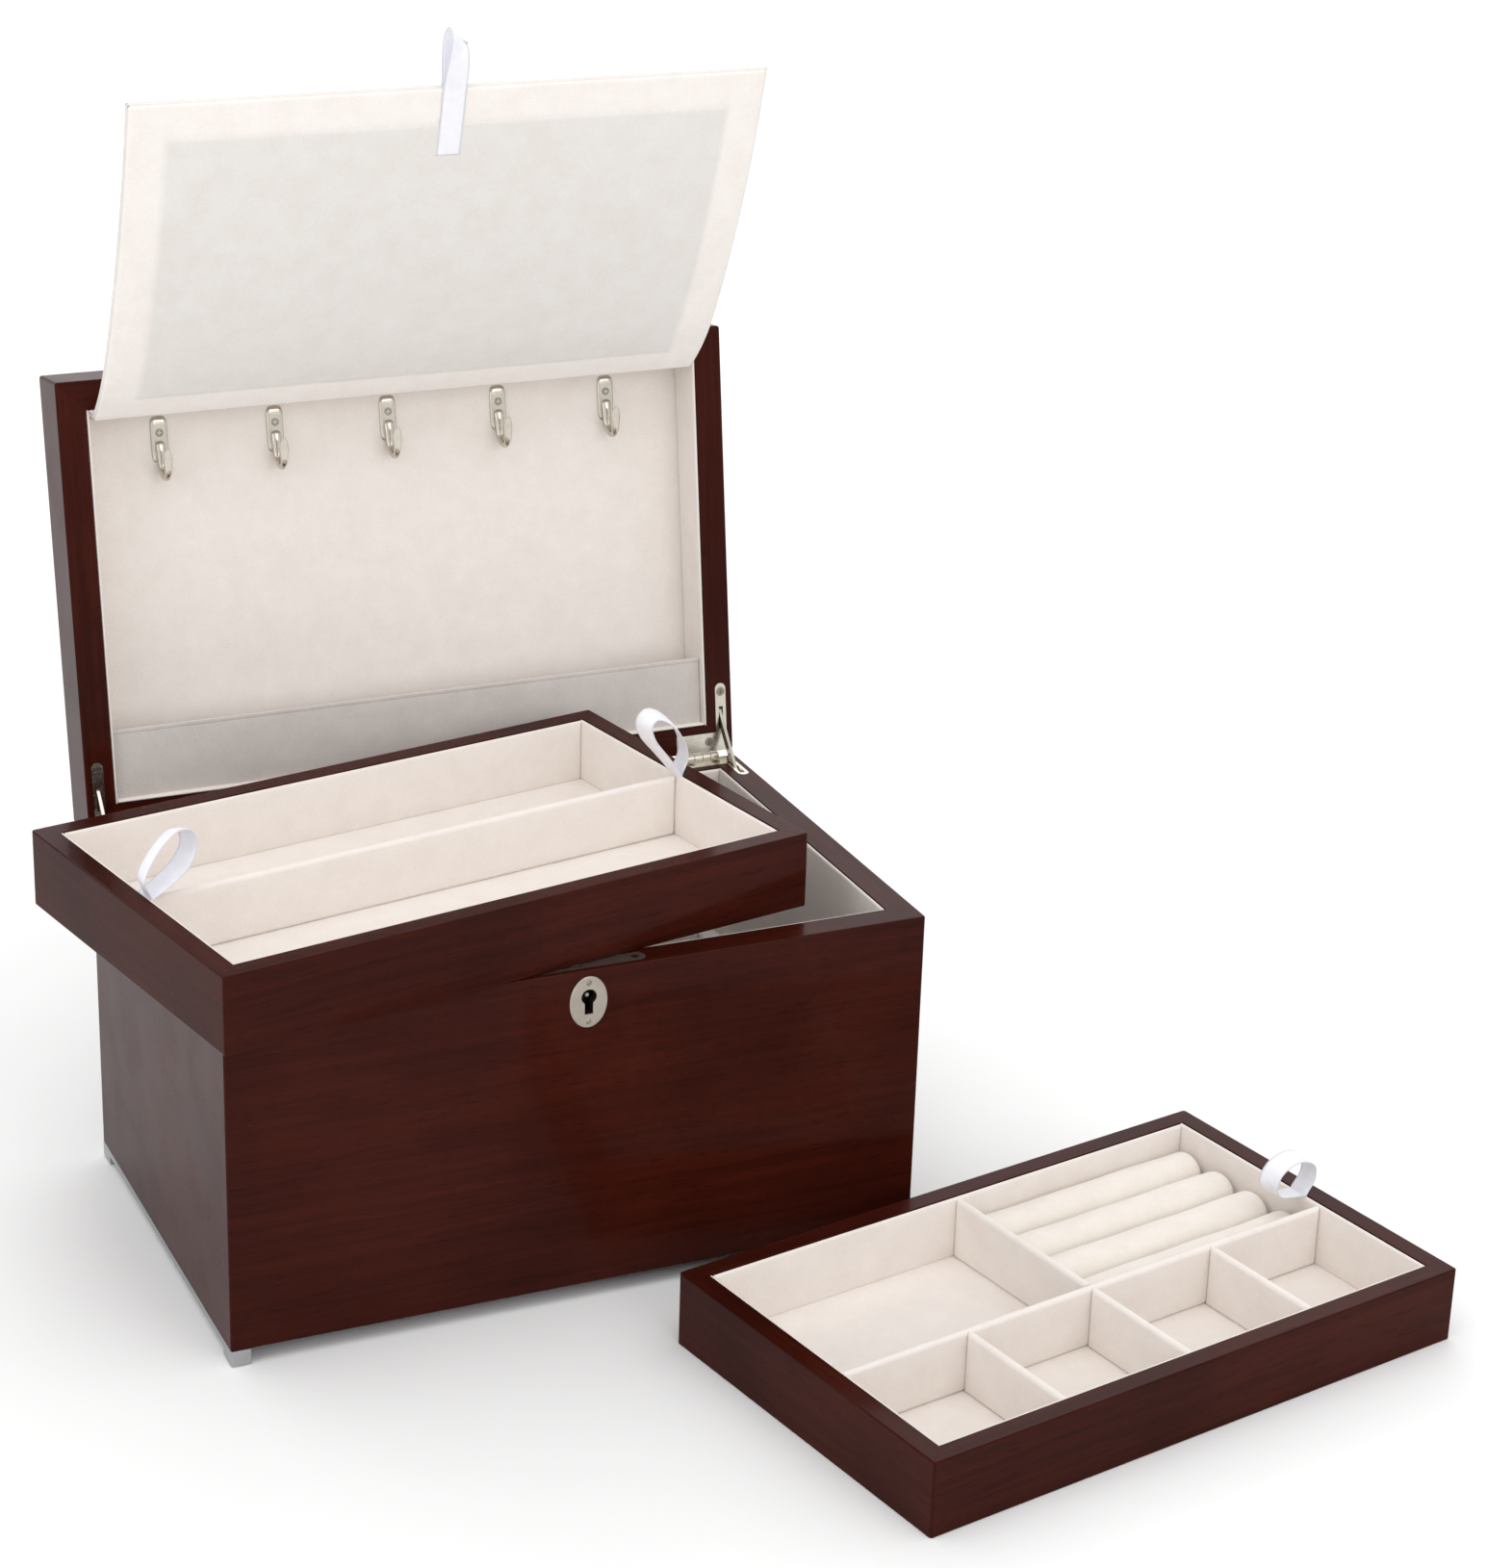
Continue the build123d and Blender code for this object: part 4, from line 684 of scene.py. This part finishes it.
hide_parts("upper_tray_ribbons")
curled = smooth_path([(137.3, 31), (137.0, 36), (142, 43.5), (141, 51.5), (132, 55.5), (122, 53), (117.5, 46),
                      (121, 39.8), (129, 37.6), (136.6, 36.4), (137.5, 31)], count)
slack = smooth_path([(-137.3, 30), (-137.0, 33.0), (-135.2, 33.6), (-132, 29), (-127.5, 22), (-126, 15),
                     (-129.6, 11.4), (-133.4, 16), (-134.6, 26), (-136.2, 31.6), (-137.2, 31.0)], count)
lower_right = ribbon_piece("ribbon_lower_right", curled, 0.15 * turn, 0.3, in_tray(lower_centre),
                           "lower_tray")
ribbon_piece("ribbon_lower_left", slack, 0.1 * turn, 0.3, in_tray(lower_centre),
             "lower_tray")
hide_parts("lower_tray_ribbons")

pull_knots = [(147.6, 1.75), (158, 1.75), (170, 1.7), (179, 1.8), (186, 2.6), (194, 3.4), (201, 2.7),
              (204.6, 0.2), (201.5, -2.6), (194, -3.3), (186, -2.4), (180.5, -1.5), (174, -1.45),
              (167, -1.45)]
pull_count = 120
pull = smooth_path(pull_knots, pull_count)
# The pull is turned most, 0.75 radians, just past its middle.
pull_twist = 0.75 * np.exp(-((np.linspace(0, 1, pull_count) - 0.53) / 0.13) ** 2)
points, quads, uv, pull_length = ribbon_strip(pull, pull_twist, 0.15)
points = np.stack([points[:, 1] - 2.0, points[:, 0], points[:, 2]], -1)
pull_ribbon = new_piece("ribbon_flap_pull", [(points, quads[:, ::-1])], on_card, white_satin, uv=uv)
solid = pull_ribbon.modifiers.new("cloth_thickness", "SOLIDIFY")
solid.thickness, solid.offset = ribbon_thick, 0.0
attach(pull_ribbon, "flap")
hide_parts("flap_pull_ribbon")

# ---------------------------------------------------------------- nickel fittings
# Hinges, stays, hooks, lock plate, escutcheon and their screws are pressed or cast brass and
# steel with bright nickel plate: a warm silver, polished but finely scratched by handling.

def plated(name, tone, worn, rough):
    """Bright plate: soft tarnish clouds 8 mm across and hair scratches drawn 0.4 mm apart."""
    metal, shader = new_material(name, metallic=1.0)
    spot = add_node(metal, "TexCoord").outputs["Object"]
    cloud = add_node(metal, "TexNoise", {"Vector": spot, "Scale": 130.0, "Detail": 3.0}).outputs["Fac"]
    tint = add_node(metal, "ValToRGB", {0: cloud})
    tint.color_ramp.elements[0].position, tint.color_ramp.elements[1].position = 0.3, 0.7
    tint.color_ramp.elements[0].color, tint.color_ramp.elements[1].color = linear(worn), linear(tone)
    metal.node_tree.links.new(tint.outputs[0], shader.inputs["Base Color"])
    hair = add_node(metal, "Mapping", {"Vector": spot, "Scale": (300, 2500, 2500)}).outputs[0]
    scratches = add_node(metal, "TexNoise", {"Vector": hair, "Scale": 1.0, "Detail": 2.0}).outputs["Fac"]
    gloss = add_node(metal, "MapRange", {0: scratches, 1: 0.3, 2: 0.7, 3: rough, 4: rough + 0.12}).outputs[0]
    metal.node_tree.links.new(gloss, shader.inputs["Roughness"])
    return metal


nickel = plated("bright_nickel_plate", "#D2CCC0", "#CAC4B8", 0.16)
dress(nickel, "strike_plate", "stay_left", "stay_right",
      *[f"hinge_{part}_leaf_{side}" for part in ("box", "lid") for side in ("left", "right")])
dress(plated("satin_nickel_plate", "#BBB4AA", "#B0A99F", 0.34), "lock_plate", "escutcheon")
dress(plated("nickel_plated_screws", "#A39C90", "#7D766A", 0.24), "lock_screws", "hinge_box_screws",
      "lid_screws", "hook_screws", "escutcheon_pins", "hinge_pins")

# ---------------------------------------------------------------- necklace hooks
# Five cast hooks are screwed to the lid's lining: an oblong plate with a domed edge and, out
# of its lower half, a tapered prong that bends forwards and up to a blunt, flattened tip.

def domed_plate(x, y, foot, wide, long, thick):
    """A closed plate: r goes from its middle out and back under, and the outline at each angle
    is (|cos|/wide)^5 + (|sin|/long)^5 = 1. Its top falls by thick * (1 - (1 - r^7)^0.5)."""
    r = np.concatenate([np.linspace(0, 0.8, 6), 1 - 0.2 * np.linspace(1, 0, 12)[1:] ** 2])
    r, fall = np.concatenate([r, r[::-1]]), np.concatenate([np.sqrt(1 - r ** 7), np.zeros(len(r))])
    angle = np.linspace(0, 2 * pi, 72, endpoint=False)
    reach = ((np.abs(np.cos(angle)) / wide) ** 5 + (np.abs(np.sin(angle)) / long) ** 5) ** -0.2
    grid = np.stack([x + r[:, None] * reach * np.cos(angle), y + r[:, None] * reach * np.sin(angle),
                     foot - thick * np.broadcast_to(fall[:, None], (len(r), len(angle)))], -1)
    return grid


def prong(x, line, half_wide, half_thick):
    """A closed tapered bar: at each point of line (y, z in mm) an ellipse, half_wide along x
    and half_thick across the line."""
    ahead = np.gradient(line, axis=0)
    ahead /= np.linalg.norm(ahead, axis=1)[:, None]
    angle = np.linspace(0, 2 * pi, 28, endpoint=False)
    side, out = half_wide[:, None] * np.cos(angle), half_thick[:, None] * np.sin(angle)
    return np.stack([x + side, line[:, :1] - ahead[:, 1:] * out, line[:, 1:] + ahead[:, :1] * out], -1)


def closed_tube(grid):
    """A shell from a grid of rings whose first and last rings are each drawn to one point."""
    rows, columns = grid.shape[:2]
    index = np.arange(rows * columns).reshape(rows, columns)
    beside = np.roll(index, -1, 1)
    quads = np.stack([index[:-1], index[1:], beside[1:], beside[:-1]], -1).reshape(-1, 4)
    return grid.reshape(-1, 3), quads


hook_line = smooth_path([(-72.5, 21.9), (-68.0, 21.2), (-63.5, 21.3), (-59.4, 20.6), (-56.4, 17.6),
                         (-56.2, 13.6), (-59.0, 10.8), (-63.0, 9.9), (-67.4, 9.2), (-70.6, 8.2)], 80)
way = np.linspace(0, 1, 80)
to_end = np.minimum(way / 0.05, (1 - way) / 0.24)
ends = np.sqrt(np.clip(1 - (1 - np.clip(to_end, 0, 1)) ** 2, 0, 1))
stations = [0, 0.18, 0.4, 0.62, 0.85, 1]
half_wide = ends * np.interp(way, stations, [2.4, 2.3, 1.7, 1.6, 2.3, 2.0])
half_thick = ends * np.interp(way, stations, [1.2, 1.7, 1.7, 1.5, 1.2, 1.0])
hook_count, hook_spacing = 5, 56.2
plate_y, lining_z, plate_half_wide, plate_half_long, plate_thick = -73.0, 23.1, 4.2, 11.0, 1.5
for index in range(hook_count):
    hook_x = (index - (hook_count - 1) // 2) * hook_spacing
    plate = domed_plate(hook_x, plate_y, lining_z, plate_half_wide, plate_half_long, plate_thick)
    bar = prong(hook_x, hook_line, half_wide, half_thick)
    hook = new_piece(f"cast_hook_{index + 1}", [closed_tube(plate), closed_tube(bar)], in_lid, nickel)
    tidy = bmesh.new()
    tidy.from_mesh(hook.data)
    bmesh.ops.remove_doubles(tidy, verts=tidy.verts, dist=1e-6)
    bmesh.ops.recalc_face_normals(tidy, faces=tidy.faces)
    tidy.to_mesh(hook.data)
    tidy.free()
    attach(hook, "lid")
    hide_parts(f"necklace_hook_{index + 1}")

# ---------------------------------------------------------------- lock works
# Behind the plate sits a pressed steel case with a sliding bolt, its leaf spring and the
# drill pin that guides the key. They are plain steel, dull grey, and show in the openings.
dress(plated("plain_steel", "#B4B2AE", "#8B8883", 0.34), "lock_bolt", "lock_spring", "lock_drill_pin")
dress(plated("dull_case_steel", "#5A5753", "#3B3835", 0.5), "lock_case")

# ---------------------------------------------------------------- feet
# An aluminium strip with a foot at each end is screwed under both side walls. It is brushed
# along its length, so highlights spread across it. Black felt discs keep the feet off wood.
aluminium, shader = new_material("brushed_aluminium", metallic=1.0, anisotropic=0.6)
spot = add_node(aluminium, "TexCoord").outputs["Object"]
brushed = add_node(aluminium, "Mapping", {"Vector": spot, "Scale": (2200, 60, 2200)}).outputs[0]
lines = add_node(aluminium, "TexNoise", {"Vector": brushed, "Scale": 1.0, "Detail": 3.0}).outputs["Fac"]
tint = add_node(aluminium, "ValToRGB", {0: lines})
tint.color_ramp.elements[0].color, tint.color_ramp.elements[1].color = linear("#97999B"), linear("#C2C3C5")
aluminium.node_tree.links.new(tint.outputs[0], shader.inputs["Base Color"])
gloss = add_node(aluminium, "MapRange", {0: lines, 1: 0.3, 2: 0.7, 3: 0.30, 4: 0.44}).outputs[0]
aluminium.node_tree.links.new(gloss, shader.inputs["Roughness"])
ridges = add_node(aluminium, "Bump", {"Height": lines, "Strength": 0.3, "Distance": 0.00003}).outputs[0]
aluminium.node_tree.links.new(ridges, shader.inputs["Normal"])
dress(aluminium, "foot_rail_left", "foot_rail_right")
dress(plated("zinc_screws", "#B9B8B4", "#8F8E8A", 0.32), "foot_screws")

felt, shader = new_material("black_felt", roughness=1.0, sheen_weight=0.3)
spot = add_node(felt, "TexCoord").outputs["Object"]
wool = add_node(felt, "TexNoise", {"Vector": spot, "Scale": 900.0, "Detail": 4.0}).outputs["Fac"]
tint = add_node(felt, "ValToRGB", {0: wool})
tint.color_ramp.elements[0].color, tint.color_ramp.elements[1].color = linear("#141212"), linear("#2E2A29")
felt.node_tree.links.new(tint.outputs[0], shader.inputs["Base Color"])
dress(felt, "foot_pads")
